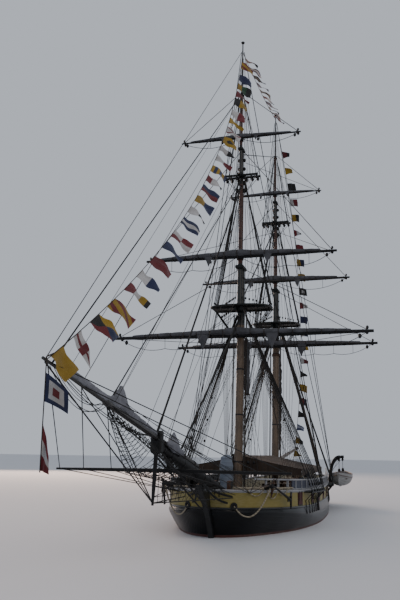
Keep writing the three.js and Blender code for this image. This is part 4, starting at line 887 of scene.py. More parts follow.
def middle_plank(u, out, up):
    """A point of the thick planks down the middle of the deck."""
    x = lerp(-14.9, 14.75, u)
    return at(x, out, deck_at(x) + up)


def deck_fittings():
    part = Part("hatches_and_bitts")
    part.add(ringed(bar(-0.5, 0.5, -0.03, 0.05), 60, middle_plank), DECK)
    for row in COAMINGS:
        coaming(part, *row)
    x, z = BOWSPRIT[0]
    low = deck_at(x) - 0.03
    for side in HANDS:
        part.block(OILED, x - 0.1, x + 0.5, *sorted((side * 0.36, side * 0.6)), low, z + 0.7, 0.03)
    part.block(OILED, x + 0.05, x + 0.3, -0.5, 0.5, low, z - 0.28)
    for aft in (WHEEL_X - 0.45, WHEEL_X + 0.3):
        part.block(OILED, aft, aft + 0.15, -0.14, 0.14, deck_at(WHEEL_X) - 0.03, AXLE_Z - 0.06)
        part.add(hoop(at(aft, 0, AXLE_Z), at(aft + 0.15, 0, AXLE_Z), 0.05, 0.13), IRON)
    part.done("deck_fittings", sharp=30)


# Masts

BOOM = SimpleNamespace(z=4.1, end=(-17.2, 5.35), radius=0.15)
GAFF = SimpleNamespace(z=13.2, end=(-11.9, 17.6), radius=0.12)


def lower_mast(mast):
    part = Part(mast.name + "_lower_mast_spar")
    top, cap = mast.top, mast.cap
    foot, hounds = deck_at(mast.x) + 0.002, top - 0.35
    body = [(0, mast.radius), (0.5, mast.radius * 0.945), (1, mast.radius * 0.88)]
    part.add(turned(mast.at(foot), mast.at(hounds), body, 24), mast.paint)
    part.add(turned(mast.at(top - 0.4), mast.at(cap), [(0, 0.26), (1, 0.22)], 20), mast.paint)
    x = mast.x_at(top - 0.2)
    for y in (-0.21, 0.21):
        part.block(GREEN_TOP, x - 0.55, x + 1.0, y - 0.09, y + 0.09, top - 0.35, top - 0.06)
    x = mast.x_at(cap)
    part.block(GREEN_TOP, x - 0.32, x + TOPMAST_FORWARD + 0.32, -0.3, 0.3, cap - 0.02, cap + 0.22, 0.05)
    z = foot + 2.6
    while z < hounds - 2:
        radius = mast.radius_at(z)
        part.add(mast.hoop(z, 0.09, radius * 0.97, radius + 0.018), IRON)
        z += 3.1
    part.add(mast.hoop(foot, 0.16, 0.2, mast.radius + 0.09), CREAM)
    for up in (0.5, 1.3, 2.1):
        part.add(mast.hoop(top + up, 0.09, 0.21, 0.262), IRON)
    if mast is MAIN:
        radius = mast.radius_at(BOOM.z)
        part.add(mast.hoop(BOOM.z - PARREL_HALF - 0.1406, 0.14, radius * 0.9, radius + 0.13), OILED)
    part.done(mast.name + "_lower_mast", sharp=32)


def topmast(mast):
    part = Part(mast.name + "_topmast_spar")
    z, high = mast.crosstrees, mast.topmast_cap
    ends = mast.at(mast.top - 0.3, TOPMAST_FORWARD), mast.at(high, TOPMAST_FORWARD)
    part.add(turned(*ends, [(0, 0.17), (0.55, 0.15), (1, 0.129)], 20), mast.topmast_paint)
    x = mast.x_at(z, TOPMAST_FORWARD)
    for y in (-0.2, 0.08):
        part.block(GREEN_TOP, x - 0.45, x + 0.75, y, y + 0.12, z - 0.18, z)
    part.block(GREEN_TOP, x - 0.34, x - 0.2, -1.35, 1.35, z - 0.12, z + 0.03)
    part.block(GREEN_TOP, x + 0.18, x + 0.3, -1.25, 1.25, z - 0.12, z + 0.03)
    sheaves = []
    for side in HANDS:
        for ahead in (-0.27, 0.24):
            sheaves += [(at(x + ahead, side * y, z - 0.26), 0.3) for y in (0.3, 0.75, 1.15)]
        for up, forward, size in ((-0.6, 0, 0.36), (-1.2, 0, 0.36), (0.5, 0.05, 0.3), (1.2, 0.05, 0.3)):
            sheaves.append((mast.at(z + up, TOPMAST_FORWARD + forward, side * 0.2), size))
    part.add(pulleys(sheaves), BLACK_TRIM)
    x = mast.x_at(high, TOPMAST_FORWARD)
    part.block(GREEN_TOP, x - 0.2, x + 0.62, -0.2, 0.2, high - 0.02, high + 0.16, 0.04)
    for up in (1.0, 2.2, 4.6, 7.0, 8.6):
        part.add(mast.hoop(mast.cap + up, 0.06, 0.12, 0.168 - 0.0035 * up, TOPMAST_FORWARD), IRON)
    part.done(mast.name + "_topmast", sharp=32)


def topgallant_mast(mast):
    part = Part(mast.name + "_topgallant_spar")
    low, end = mast.crosstrees - 0.15, mast.truck - 0.12
    share = (mast.hounds - low) / (end - low)
    body = [(0, 0.12), (share, 0.096), (share + 0.01, 0.072), (1, 0.042)]
    truck = [(0, 0.11), (0.25, 0.14), (0.6, 0.14), (1, 0.08)]
    for z0, z1, profile, finish in (
        (low, end, body, mast.pole_paint), (mast.truck - 0.14, mast.truck, truck, BLACK_TRIM)
    ):
        ends = mast.at(z0, TOPGALLANT_FORWARD), mast.at(z1, TOPGALLANT_FORWARD)
        part.add(turned(*ends, profile, 16), finish)
    for up, outer in ((-0.12, 0.115), (2.3, 0.08)):
        part.add(mast.hoop(mast.hounds + up, 0.12, 0.05, outer, TOPGALLANT_FORWARD), IRON)
    part.done(mast.name + "_topgallant_mast", sharp=32)


# Standing rigging

SHROUDS = 6
FUTTOCK_Y = 0.92


def channel_foot(x, side):
    return at(x, side * (half_at(x) + 0.49), deck_at(x) + RAIL_HEIGHT - 0.18)


def at_height(line, z):
    a, b = line
    return a.lerp(b, (z * SCALE - a.z) / (b.z - a.z))


def ratlines(lines, low, high, spacing=0.42):
    """The rungs of rope tied across a set of shrouds."""
    rungs = []
    z = low
    while z < high:
        rungs.append(([at_height(line, z) for line in lines], 0.0085))
        z += spacing
    return rungs


def deadeye(part, centre, side, radius):
    half = at(0, side * 0.05, 0)
    profile = [(0, radius * 0.8), (0.3, radius), (0.7, radius), (1, radius * 0.8)]
    part.add(turned(centre - half, centre + half, profile, 10), BLACK_TRIM)


def set_up(part, cords, foot, head, side, radius=0.1, apart=0.55):
    """Two deadeyes and their lanyards between a shroud and what it is set up to."""
    along = (head - foot).normalized() * SCALE
    low, high = foot + along * (radius + 0.02), foot + along * apart
    deadeye(part, low, side, radius)
    deadeye(part, high, side, radius)
    for shift in (-0.5, 0, 0.5):
        step = at(shift * radius, 0, 0)
        cords.append(([low + step, high + step], 0.012))
    return high


def shroud_lines(mast, side):
    front, back = mast.channel
    lines = []
    for i in range(SHROUDS):
        foot = channel_foot(front - 0.3 + (back - front) * 0.82 * i / (SHROUDS - 1), side)
        head = mast.at(mast.top - 0.5, -0.05 - 0.06 * i, side * (mast.radius * 0.88 + 0.06))
        lines.append((foot, head))
    return lines


def rigging(mast, label, side):
    """The shrouds and backstays of one side, down to their channel and its chain plates."""
    part = Part(f"{mast.name}_shrouds_{label}")
    front, back = mast.channel
    thick = bar(0.002, 0.55, RAIL_HEIGHT - 0.2, RAIL_HEIGHT - 0.12)
    part.add(moulding(thick, station(back - 0.5), station(front), 20, side), BLACK_TRIM)
    lines = shroud_lines(mast, side)
    tarred, lanyards, plates = [], [], []
    for foot, head in lines:
        tarred.append(([set_up(part, lanyards, foot, head, side), head], 0.03))
    feet = [foot for foot, _ in lines]
    for share, z, forward in (
        (0.9, mast.crosstrees - 0.35, TOPMAST_FORWARD - 0.28),
        (0.98, mast.crosstrees - 0.35, TOPMAST_FORWARD - 0.34),
        (1.06, mast.hounds - 0.1, TOPGALLANT_FORWARD - 0.1),
        (1.0, mast.truck - 0.9, TOPGALLANT_FORWARD - 0.05),
    ):
        foot, head = channel_foot(front + (back - front) * share, side), mast.at(z, forward, side * 0.1)
        tarred.append(([set_up(part, lanyards, foot, head, side, 0.08), head], 0.026))
        feet.append(foot)
    for foot in feet:
        x = foot.x / SCALE
        wale = beside(x, 0.07, -0.06, side)
        plates.append(([foot, beside(x, 0.03, 0.3, side)], 0.022))
        plates.append(([beside(x, 0.03, 0.32, side), wale], 0.03))
        plates.append(([wale, beside(x, BULGE + 0.02, -0.5, side)], 0.026))
    sheer = deck_at(front) + RAIL_HEIGHT + 0.75
    tarred.append(([at_height(lines[0], sheer), at_height(lines[-1], sheer)], 0.03))
    tarred += ratlines(lines, sheer + 0.4, mast.top - 1.3)
    part.ropes(TARRED, tarred, 6)
    part.ropes(TARRED, lanyards)
    part.ropes(IRON, plates)
    part.done(f"{mast.name}_rigging_{label}")


def top_boards(part, mast, x):
    """The floor of a top, rounded ahead, with its battens above and its bearers below."""
    half, z = mast.half_top, mast.top - 0.059
    edge = [(-1.15, 1), (0.55, 1), (0.86, 0.9), (1.1, 0.72), (1.27, 0.52), (1.35, 0.3)]
    outline = [(ahead, -half * wide) for ahead, wide in edge]
    outline += [(ahead, half * wide) for ahead, wide in reversed(edge)]
    part.add(soften(plate(outline, 0.1, lambda a, b, up: at(x + a, b, z + up)), 0.015, 1), GREEN_TOP)
    for i in range(-5, 6):
        y = i * half / 5.6
        reach = (1.32 if abs(i) < 3 else 1.0) - 0.08 * abs(i)
        part.block(GREEN_TOP, x - 1.1, x + reach, y - 0.04, y + 0.04, z + 0.09, z + 0.13, 0.01)
    for middle in (x - 0.75, x + 0.75):
        part.block(GREEN_TOP, middle - 0.07, middle + 0.07, -half * 0.9, half * 0.9, z - 0.1, z + 0.02)


def fighting_top(mast):
    """A top and what is set up to it: futtock shrouds below, topmast and topgallant shrouds above."""
    part = Part(mast.name + "_top_platform")
    x = mast.x_at(mast.top)
    top_boards(part, mast, x)
    topmast_x = x + TOPMAST_FORWARD
    crosstrees, hounds = mast.crosstrees, mast.hounds
    tarred, lanyards = [], []
    for side in HANDS:
        rim_y = side * (mast.half_top - 0.08)

        def futtock(x):
            return at(x - 0.08, side * FUTTOCK_Y, mast.top - 1.55), at(x, rim_y, mast.top)

        lines = []
        for i in range(4):
            x = topmast_x - 0.6 - i * 0.34
            rim = at(x, rim_y, mast.top + 0.05)
            head = mast.at(crosstrees - 0.3, TOPMAST_FORWARD + 0.08 - i * 0.05, side * 0.22)
            tarred.append(([set_up(part, lanyards, rim, head, side, 0.07, 0.36), head], 0.03))
            tarred.append((futtock(x), 0.028))
            lines.append((rim, head))
        tarred += ratlines(lines, mast.top + 0.9, crosstrees - 1.2)
        futtocks = [futtock(topmast_x - aft) for aft in (0.6, 1.62)]
        tarred += ratlines(futtocks, mast.top - 1.55, mast.top - 0.2, 0.4)
        tarred.append(([at(topmast_x - aft, side * FUTTOCK_Y, mast.top - 1.55) for aft in (0.5, 1.85)], 0.03))
        poles = []
        for reach in (1.3, 1.05):
            rim = mast.at(crosstrees, TOPMAST_FORWARD - 0.26, side * reach)
            head = mast.at(hounds - 0.15, TOPGALLANT_FORWARD - 0.04, side * 0.1)
            tarred.append(([rim, head], 0.02))
            tarred.append(([rim, mast.at(crosstrees - 1.5, TOPMAST_FORWARD, side * 0.17)], 0.018))
            poles.append((rim, head))
        tarred += ratlines(poles, crosstrees + 0.5, hounds - 1.0, 0.5)
    part.ropes(TARRED, tarred, 6)
    part.ropes(TARRED, lanyards)
    part.done(mast.name + "_top", sharp=32)


# Yards and furled sails

KINDS = {
    # forward of its spar, that spar forward of the lower mast, radius, radius of the furl,
    # and for each corner of the sail how far out it hangs, its width and its drop
    "course": (0.9, 0, 0.2, 0.21, (2.4, 1.1, 1.15)),
    "topsail": (0.62, TOPMAST_FORWARD, 0.16, 0.2, (2.1, 0.75, 0.78)),
    "topgallant": (0.4, TOPGALLANT_FORWARD, 0.1, 0.115, (1.2, 0.42, 0.42)),
}
FURL_RISE = 0.55  # radians that the furl lies above straight ahead of its yard
FURL_REACH = 0.84


def yard_of(mast, kind):
    """A yard, its furl and where its brace is made fast on the other mast."""
    ahead, spar, radius, furl, corner = KINDS[kind]
    z, half, mast_radius, brace_z, brace_forward = mast.yards[kind]
    on = mast.x_at(z, spar)
    brace = (MAIN if mast is FORE else FORE).at(brace_z, brace_forward)
    return SimpleNamespace(
        name=f"{mast.name}_{kind}", mast=mast, kind=kind, on=on, x=on + ahead, z=z, half=half, radius=radius,
        spar=spar, mast_radius=mast_radius, furl=furl, corner=corner, brace=brace,
    )


def arm_radius(yard, share):
    return yard.radius * (1 - 0.5 * abs(share) ** 1.6)


def bare_yard(yard, shares, steps):
    """A yard with nothing on it: thick in the middle and slim at both yardarms."""
    profile = [((1 + i / shares) / 2, arm_radius(yard, i / shares)) for i in range(-shares, shares + 1)]
    return turned(at(yard.x, -yard.half, yard.z), at(yard.x, yard.half, yard.z), profile, steps)


def foot_ropes(yard, side):
    """The rope that hands stand on, under one arm of a yard, with its stirrups."""
    x, z, half = yard.x, yard.z, yard.half
    drop = 0.8 if half > 6 else 0.55
    spans = max(int(half / 1.7), 2)
    lines, knots = [], [at(x - 0.12, side * 0.25, z - 0.1)]
    for i in range(1, spans):
        y = side * lerp(0.25, half * 0.95, i / spans)
        knots.append(at(x - 0.1, y, z - drop))
        lines.append(([at(x - 0.05, y, z - 0.05), knots[-1]], 0.014))
    knots.append(at(x - 0.05, side * half * 0.95, z - 0.05))
    walk = []
    for a, b in zip(knots, knots[1:]):
        walk += hanging(a, b, 0.1, 6)[:-1]
    lines.append(([*walk, knots[-1]], 0.02))
    return lines


def yard_spar(yard):
    x, z, half, radius, inner = yard.x, yard.z, yard.half, yard.radius, yard.mast_radius
    part = Part(yard.name + "_yard_spar", yard.name)
    part.add(bare_yard(yard, 12, 16), SPAR_BLACK)
    parrel = yard.mast.hoop(z - PARREL_HALF, 2 * PARREL_HALF, inner + 0.012, inner + 0.075, yard.spar)
    part.add(parrel, TARRED)
    part.block(IRON, yard.on + inner + 0.03, x, -0.08, 0.08, z - 0.07, z + 0.07)
    size = 0.34 if yard.kind == "course" else 0.28
    cords, sheaves = [], []
    for side in HANDS:
        for share in (0.12, 0.45, 0.68, 0.92):
            wide = arm_radius(yard, share)
            ends = [at(x, side * (half * share + shift), z) for shift in (0, 0.07)]
            part.add(hoop(*ends, wide * 0.9, wide + 0.018, 14), IRON)
        cords += foot_ropes(yard, side)
        for share, drop in ((0.3, 0.4), (0.9, 0.32)):
            sheaves.append((at(x - 0.05, side * half * share, z - radius - size * drop), size))
        sheaves.append((at(x - radius - 0.14, side * half * 0.95, z), size))
        sheaves.append((at(x, side * half * 0.955, z + radius * 0.6 + 0.12), size * 0.8))
    part.ropes(TARRED, cords, 6)
    part.add(pulleys(sheaves), BLACK_TRIM)
    part.done(yard.name + "_yard", sharp=32)


def off_tie(passed, spacing):
    """How far it is to the nearest tie, when so many have been passed."""
    return abs((passed + 0.5) % 1 - 0.5) * spacing


def furl_swell(yard, share):
    """How fat a furl is along its yard: slim at the yardarms, with its bunt piled up in the middle."""
    return yard.furl * (0.36 + 0.56 * (1 - abs(share) ** 1.4) + 0.3 * near_tie(share, 0.13))


def corner(yard, side, seed):
    """The corner of a furled sail, left hanging under the yard in a limp triangle."""
    out, wide, drop = yard.corner

    def place(u, v):
        turn = math.tau * v
        narrow = (1 - u) ** 1.15 * 0.94 + 0.06
        fold = 0.1 * around(turn, u * 3 + seed, 2)
        return at(
            yard.x + yard.radius + 0.06 + (0.09 * narrow + fold * 0.5 * narrow + 0.02) * math.sin(turn),
            side * out + wide / 2 * narrow * math.cos(turn) * (1 + fold),
            yard.z + yard.radius * 0.7 - drop * u,
        )

    return shut(fabric(14, 18, place))


def gasket(yard, share):
    """The tie that binds a furl to its yard, as an oval of points round both."""
    swell, thick = furl_swell(yard, share), arm_radius(yard, share * FURL_REACH)
    away = thick * 0.85 + swell * 0.95
    long_way = (away + swell + thick) / 2 * 0.97
    rise, level = math.sin(FURL_RISE), math.cos(FURL_RISE)
    loop = []
    for k in range(17):
        turn = math.tau * k / 16
        across = max(swell, thick) * 0.97 * math.sin(turn)
        along = (away + swell - thick) / 2 + long_way * math.cos(turn)
        x, z = yard.x + along * level - across * rise, yard.z + along * rise + across * level
        loop.append(at(x, share * yard.half * FURL_REACH, z))
    return loop


def furled_sail(yard):
    reach = yard.half * FURL_REACH
    gaskets = max(int(reach / 0.85), 4)
    seed = 7.3 * yard.z

    def bundle(u, v):
        share, turn = 2 * u - 1, math.tau * v
        swell = furl_swell(yard, share)
        away = arm_radius(yard, share * FURL_REACH) * 0.85 + swell * 0.95
        ripple = around(turn, share * reach * 3.2 + seed, 1.3)
        folds = around(turn, share * reach * 0.7 + seed, 4)
        pinch = near_tie(off_tie(share * gaskets, reach / gaskets), 0.09)
        size = swell * (1 + 0.1 * ripple + 0.16 * folds - 0.2 * pinch)
        return at(
            yard.x + away * math.cos(FURL_RISE) + size * math.cos(turn) * 0.94,
            share * reach,
            yard.z + away * math.sin(FURL_RISE) + size * math.sin(turn) * 0.98,
        )

    part = Part(yard.name + "_sail", yard.name)
    part.add(shut(fabric(gaskets * 22, 26, bundle)), SAIL)
    for side in HANDS:
        part.add(corner(yard, side, seed + side), SAIL)
    part.ropes(HEMP, [(gasket(yard, i / gaskets), 0.022) for i in range(-gaskets + 1, gaskets)])
    part.done(yard.name + "_furled", sharp=60)


# Gear that links a yard to the masts


def led_to_yard(label, yard, lines, start, end):
    """Ropes from a yard to the masts or the hull, in one piece that belongs to no body."""
    part = Part(f"{yard.name}_{label}", None)
    part.ropes(HEMP, lines)
    piece = part.done()
    tuple(start)
    tuple(end)
    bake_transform(piece)


def braces(yard):
    """A brace and a lift to each yardarm."""
    mast, radius = yard.mast, yard.radius
    lift = {
        "course": mast.at(mast.cap + 0.1),
        "topsail": mast.at(mast.topmast_cap, TOPMAST_FORWARD),
        "topgallant": mast.at(mast.hounds, TOPGALLANT_FORWARD),
    }[yard.kind]
    for label, side in SIDES:
        tip = at(yard.x, side * yard.half * 0.95, yard.z)
        aside = at(0, side * 0.28, 0)
        lines = [
            ([yard.brace + aside, tip + at(-radius, 0, 0)], 0.02),
            ([lift + aside * 0.5, tip + at(0, 0, radius * 0.55)], 0.022),
        ]
        start, end = at(yard.x, side * 0.4, yard.z), at(yard.x, side * yard.half * 0.9, yard.z)
        led_to_yard("brace_" + label, yard, lines, start, end)


def buntlines(yard):
    """Slings, tyes and buntlines between a yard and the mast over it."""
    mast, x, z, radius = yard.mast, yard.x, yard.z, yard.radius
    tops = {"course": mast.top - 0.45, "topsail": mast.crosstrees - 0.3, "topgallant": mast.hounds - 0.2}
    up = tops[yard.kind]
    forward = yard.spar + (0.36 if yard.kind == "course" else 0.2)
    spread = [(0.12, 0.12), (1.2, 0.35), (2.6, 0.5)]
    if yard.kind == "topgallant":
        spread = [(0.08, 0.06), (1.0, 0.1)]
    lines = []
    for side in HANDS:
        for out, head in spread:
            low = at(x - radius * 0.8, side * out, z + radius * 0.6)
            lines.append(([mast.at(up, forward, side * head), low], 0.017))
    led_to_yard("buntlines", yard, lines, at(x, 0, up - 0.2), at(x, 0, z + radius + 0.3))


PIN_STEP = 0.44  # from one belaying pin to the next


def pin(x, side, inboard=0.25):
    return at(x, side * (half_at(x) - inboard), deck_at(x) + 0.75)


def led_down(mast, side, lines, sheaves):
    """Halyards, clewlines and buntlines led down round one side of a mast to the pins on deck."""
    front = mast.channel[0]
    top, low = mast.top, deck_at(mast.x) + 0.9
    x = mast.x_at(top)
    # from under the top, spread aft along the side
    for i in range(12):
        head = mast.at(top - 0.6 - 0.07 * i, -0.35 - 0.04 * i, side * (0.3 + 0.04 * i))
        foot = pin(front + 0.2 - PIN_STEP * i, side)
        lines.append(([head, foot], 0.014))
        if i % 3 == 1:
            sheaves.append((head.lerp(foot, 0.3 + 0.04 * i), 0.2))
    # from the rim of the top, down outside the mast to the fife rails
    for i in range(5):
        rim = at(x + 1.1 - 0.5 * i, side * (0.5 + 0.28 * i), top - 0.06)
        foot = mast.at(low, 0.55 - 0.3 * i, side * (0.6 + 0.1 * i))
        lines.append(([rim, foot], 0.014))
        sheaves.append((rim.lerp(foot, 0.03), 0.22))
        if i % 2:
            sheaves.append((rim.lerp(foot, 0.86), 0.24))
    # ahead of the mast, from its top to the rail pins before the shrouds
    for i in range(5):
        head = at(x + 1.15, side * (0.35 + 0.3 * i), top - 0.1)
        lines.append(([head, pin(front + 0.5 + 0.45 * i, side)], 0.014))
    # topsail and topgallant gear between the crosstrees, the hounds and the top
    for i in range(7):
        z = (mast.crosstrees - 0.4, mast.hounds - 0.5)[i % 2]
        forward = (TOPMAST_FORWARD, TOPGALLANT_FORWARD)[i % 2] - 0.12 - 0.06 * i
        head = mast.at(z, forward, side * 0.13)
        foot = at(x + 0.9 - 0.33 * i, side * (0.25 + 0.2 * i), top + 0.06)
        lines.append(([head, foot], 0.012))
        sheaves.append((foot + (head - foot).normalized() * 0.5 * SCALE, 0.18))
    # royal and flag halyards from the pole, spreading to the crosstrees
    for i, up in enumerate((0.0, 1.2, 2.4, 3.0)):
        head = mast.at(mast.hounds + up, TOPGALLANT_FORWARD - 0.04, side * 0.05)
        foot = mast.at(mast.crosstrees + 0.05, TOPMAST_FORWARD + 0.25 - 0.18 * i, side * (0.4 + 0.2 * i))
        lines.append(([head, foot], 0.011))
    for i in range(3):
        forward = 0.34 - 0.17 * i
        lines.append(([mast.at(z, forward, side * 0.44) for z in (top - 0.5, low)], 0.017))
        sheaves.append((mast.at(low + 0.9 + 0.3 * i, forward, side * 0.44), 0.26))


def fife_rails(part, mast):
    """Rails of belaying pins round the foot of a mast."""
    x = mast.x_at(deck_at(mast.x))
    low = deck_at(x) - 0.02
    for y in (-0.6, 0.6):
        part.block(OILED, x - 0.75, x + 0.5, y - 0.09, y + 0.09, low + 0.82, low + 0.92, 0.015)
        for post in (x - 0.7, x + 0.33):
            part.block(OILED, post, post + 0.13, y - 0.065, y + 0.065, low, low + 0.85, 0.012)
        for i in range(6):
            foot = at(x - 0.6 + 0.2 * i, y, low + 0.7)
            profile = [(0, 0.012), (0.5, 0.016), (0.55, 0.028), (0.85, 0.03), (1, 0.015)]
            part.add(turned(foot, foot + at(0, 0, 0.4), profile, 8), OILED)


def running_rigging():
    part = Part("running_rigging")
    lines, sheaves = [], []
    for mast in MASTS:
        for side in HANDS:
            led_down(mast, side, lines, sheaves)
    part.ropes(HEMP, lines)
    part.add(pulleys(sheaves), BLACK_TRIM)
    for mast in MASTS:
        fife_rails(part, mast)
    part.done()


# Driver, boom and gaff


def band(ends, share, length, inner, outer):
    """A hoop round the line between two ends."""
    near = ends[0].lerp(ends[1], share)
    return hoop(near, near + (ends[1] - ends[0]).normalized() * length * SCALE, inner, outer)


def swung_spar(name, spar):
    """A spar that swings behind the main mast on the ring it has round it."""
    part = Part(name + "_spar", name)
    z, radius = spar.z, spar.radius
    inner = MAIN.radius_at(z - PARREL_HALF)
    part.add(MAIN.hoop(z - PARREL_HALF, 2 * PARREL_HALF, inner + 0.012, inner + 0.075), OILED)
    ends = MAIN.at(z, -inner - 0.05), at(spar.end[0], 0, spar.end[1])
    body = [(0, radius * 0.8), (0.15, radius * 0.92), (0.4, radius), (0.7, radius * 0.84), (1, radius * 0.55)]
    part.add(turned(*ends, body, 18), SPAR_BUFF)
    for share in (0.06, 0.5, 0.93):
        part.add(band(ends, share, 0.09, radius * 0.5, radius + 0.015), IRON)
    part.done(name, sharp=32)


def brailed_sail(part, low, high, thick, ends, seed):
    """A sail gathered up and down a mast in a long bundle, tied every metre or so and slim at its ends."""
    length = (high - low).length / SCALE
    ties = int(length / 1.1)
    stand = aim(low, high)

    def place(u, v):
        turn = math.tau * v
        swell = thick * (ends + (1 - ends) * max(min(1, 6 * u, 6 * (1 - u)), 0) ** 0.6)
        folds = round_end(turn, 3.2, u * length * 0.6 + seed)
        ripple = round_end(turn, 1.2, u * length * 2.4 + seed)
        pinch = near_tie(off_tie(u * ties, length / ties), 0.12)
        size = swell * (0.96 + 0.3 * folds + 0.2 * ripple - 0.3 * pinch)
        return stand @ at(size * math.cos(turn), size * math.sin(turn), u * length)

    part.add(shut(fabric(ties * 14, 22, place)), SAIL)


def driver():
    part = Part("driver_sail", "gaff")
    brailed_sail(part, MAIN.at(5.0, -0.66, 0.12), MAIN.at(13.36, -0.68, 0.1), 0.31, 0.5, 3.0)
    part.done("driver_brailed", sharp=60)


def fore_trysail():
    """A small sail brailed close behind the fore mast, under its top."""
    part = Part("fore_trysail")
    low = FORE.at(8.6, -0.52, 0.4)
    brailed_sail(part, low, FORE.at(12.6, -0.5, 0.3), 0.22, 0.45, 11.0)
    part.add(hoop(low, low + at(0, 0, 0.1), 0.02, 0.2), HEMP)
    part.ropes(TARRED, [([FORE.at(z, -0.2), FORE.at(z, -0.55, 0.36)], 0.03) for z in (8.75, 9.9, 11.1, 12.4)])
    part.done()


# Bowsprit, jibboom and the head

STRIKER_X = 26.85
STRIKER_FOOT = 2.38
STRIKER_TIE = STRIKER_FOOT + 0.1
SPRITSAIL = SimpleNamespace(x=24.7, z=3.82, half=5.8, radius=0.1)


def bowsprit():
    part = Part("bowsprit_spar")
    ends = on_spar(BOWSPRIT, BOWSPRIT[0][0]), on_spar(BOWSPRIT, BOWSPRIT[1][0])
    part.add(turned(*ends, [(0, 0.275), (0.3, 0.29), (0.65, 0.25), (1, 0.197)], 22), SPAR_BLACK)
    for share in (0.32, 0.4, 0.55, 0.7, 0.86, 0.95):
        wide = 0.29 - 0.093 * max(share - 0.3, 0) / 0.7
        part.add(band(ends, share, 0.1, wide * 0.9, wide + 0.02), IRON)
    part.done("bowsprit", sharp=32)


def jibboom():
    part = Part("jibboom_spar")
    ends = on_spar(JIBBOOM, JIBBOOM[0][0]), on_spar(JIBBOOM, JIBBOOM[1][0])
    body = [(0, 0.15), (0.687, 0.122), (0.698, 0.142), (0.712, 0.142), (0.718, 0.083), (1, 0.053)]
    part.add(turned(*ends, body, 16), SPAR_BROWN)
    for x in (20.6, 22.4, 24.0):
        part.add(hoop(on_spar(JIBBOOM, x), on_spar(JIBBOOM, x + 0.22), 0.1, 0.165), TARRED)
    part.done("jibboom", sharp=32)


def martingale():
    """The bowsprit's cap, the dolphin striker under it and the stays that it spreads."""
    part = Part("dolphin_striker")
    x = BOWSPRIT[1][0]
    part.block(SPAR_BLACK, x - 0.06, x + 0.36, -0.26, 0.26, 4.62, 5.62, 0.06)
    ends = at(STRIKER_X - 0.33, 0, 4.75), at(STRIKER_X, 0, STRIKER_FOOT)
    part.add(turned(*ends, [(0, 0.1), (0.7, 0.085), (1, 0.055)]), SPAR_BLACK)
    tie = at(STRIKER_X - 0.01, 0, STRIKER_TIE)
    lines = []
    for far, under, radius in ((JIBBOOM_STEP, 0.13, 0.028), (37.35, 0.08, 0.028), (34.6, 0.08, 0.02)):
        lines.append(([tie, on_spar(JIBBOOM, far, -under)], radius))
    for side in HANDS:
        lines.append(([tie, at(17.45, side * 1.4, 2.25)], 0.028))
        lines.append(([at(x + 0.15, side * 0.2, 4.66), at(18.1, side * 0.2, 1.6)], 0.045))
    part.ropes(TARRED, lines, 6)
    part.done("martingale", sharp=32)


def spritsail_yard():
    part = Part("spritsail_yard_spar")
    x, z = SPRITSAIL.x, SPRITSAIL.z
    part.add(bare_yard(SPRITSAIL, 8, 14), SPAR_BLACK)
    part.block(TARRED, x - 0.12, x + 0.12, -0.08, 0.08, z, z + 0.66, 0.02)
    part.done("spritsail_yard", sharp=32)


HEAD_SAILS = [
    # x, radius, rise: a roll along the jibboom, bunched up at the foot of the jib stay
    (35.8, 0.09, 0.0), (35.2, 0.15, 0.02), (33.8, 0.15, 0.02), (32.2, 0.15, 0.03), (31.7, 0.18, 0.14),
    (31.3, 0.21, 0.4), (31.0, 0.22, 0.62), (30.75, 0.22, 0.64), (30.5, 0.21, 0.4), (30.2, 0.2, 0.1),
    (29.5, 0.19, 0.0), (28.2, 0.17, 0.0), (26.75, 0.15, 0.0),
]


def jibs_at(x):
    for i, (ahead, behind) in enumerate(zip(HEAD_SAILS, HEAD_SAILS[1:])):
        if x >= behind[0]:
            return through(HEAD_SAILS, i + (ahead[0] - x) / (ahead[0] - behind[0]))[1:]
    return HEAD_SAILS[-1][1:]


def rolled_jib(u, v):
    x = lerp(HEAD_SAILS[0][0], HEAD_SAILS[-1][0], u)
    radius, rise = jibs_at(x)
    spar = 0.075 if x > JIBBOOM_STEP else 0.12
    turn = math.tau * v
    pinch = near_tie(0.5 - abs((x / 0.8) % 1 - 0.5), 0.1)
    size = 1 + 0.2 * around(turn, x * 0.8, 3.4) + 0.1 * around(turn, x * 3.1, 1.2) - 0.16 * pinch
    over = (spar + radius) * 0.55 + rise * 0.5
    wide = radius * 0.8 * size * (1 - 1.1 * rise * max(math.sin(turn), 0))
    return on_spar(JIBBOOM, x, over + (radius + rise * 0.5) * size * math.sin(turn), wide * math.cos(turn))


def furled_jibs():
    part = Part("head_sails")
    part.add(shut(fabric(150, 26, rolled_jib)), JIB_CANVAS)
    part.done("furled_jibs", sharp=60)


def stowed(u, v):
    x = lerp(25.9, 23.4, u)
    turn = math.tau * v
    hump = near_tie(x - 24.9, 0.36)
    radius = 0.16 + 0.08 * hump + 0.04 * around(turn, x * 2.2, 2.4)
    radius *= min(1, 5 * u + 0.25, 5 * (1 - u) + 0.25)
    rise = 0.48 * hump
    wide = radius * (1 - 0.8 * hump * max(math.sin(turn), 0))
    over = 0.25 + rise * 0.5 + (radius + rise * 0.5) * math.sin(turn)
    return on_spar(BOWSPRIT, x, over, 0.3 + wide * math.cos(turn))


def staysail():
    """The fore topmast staysail, stowed in a heap on the bowsprit at the foot of its stay."""
    part = Part("stowed_staysail")
    part.add(shut(fabric(48, 22, stowed)), JIB_CANVAS)
    part.done(sharp=60)


NET = 0.0125  # radius of the net's cords


def meshes(lines, pairs, drop, steps=8):
    """Cords of a net, each slung between a pair of points."""
    lines += [(hanging(a, b, drop, steps), NET) for a, b in pairs]


def along_net(lines, pairs, shares, sag):
    """Cords that cross the others at so many shares of their length."""
    for k in shares:
        down = at(0, 0, -sag * k * (1 - k))
        lines.append(([a.lerp(b, k) + down for a, b in pairs], NET))


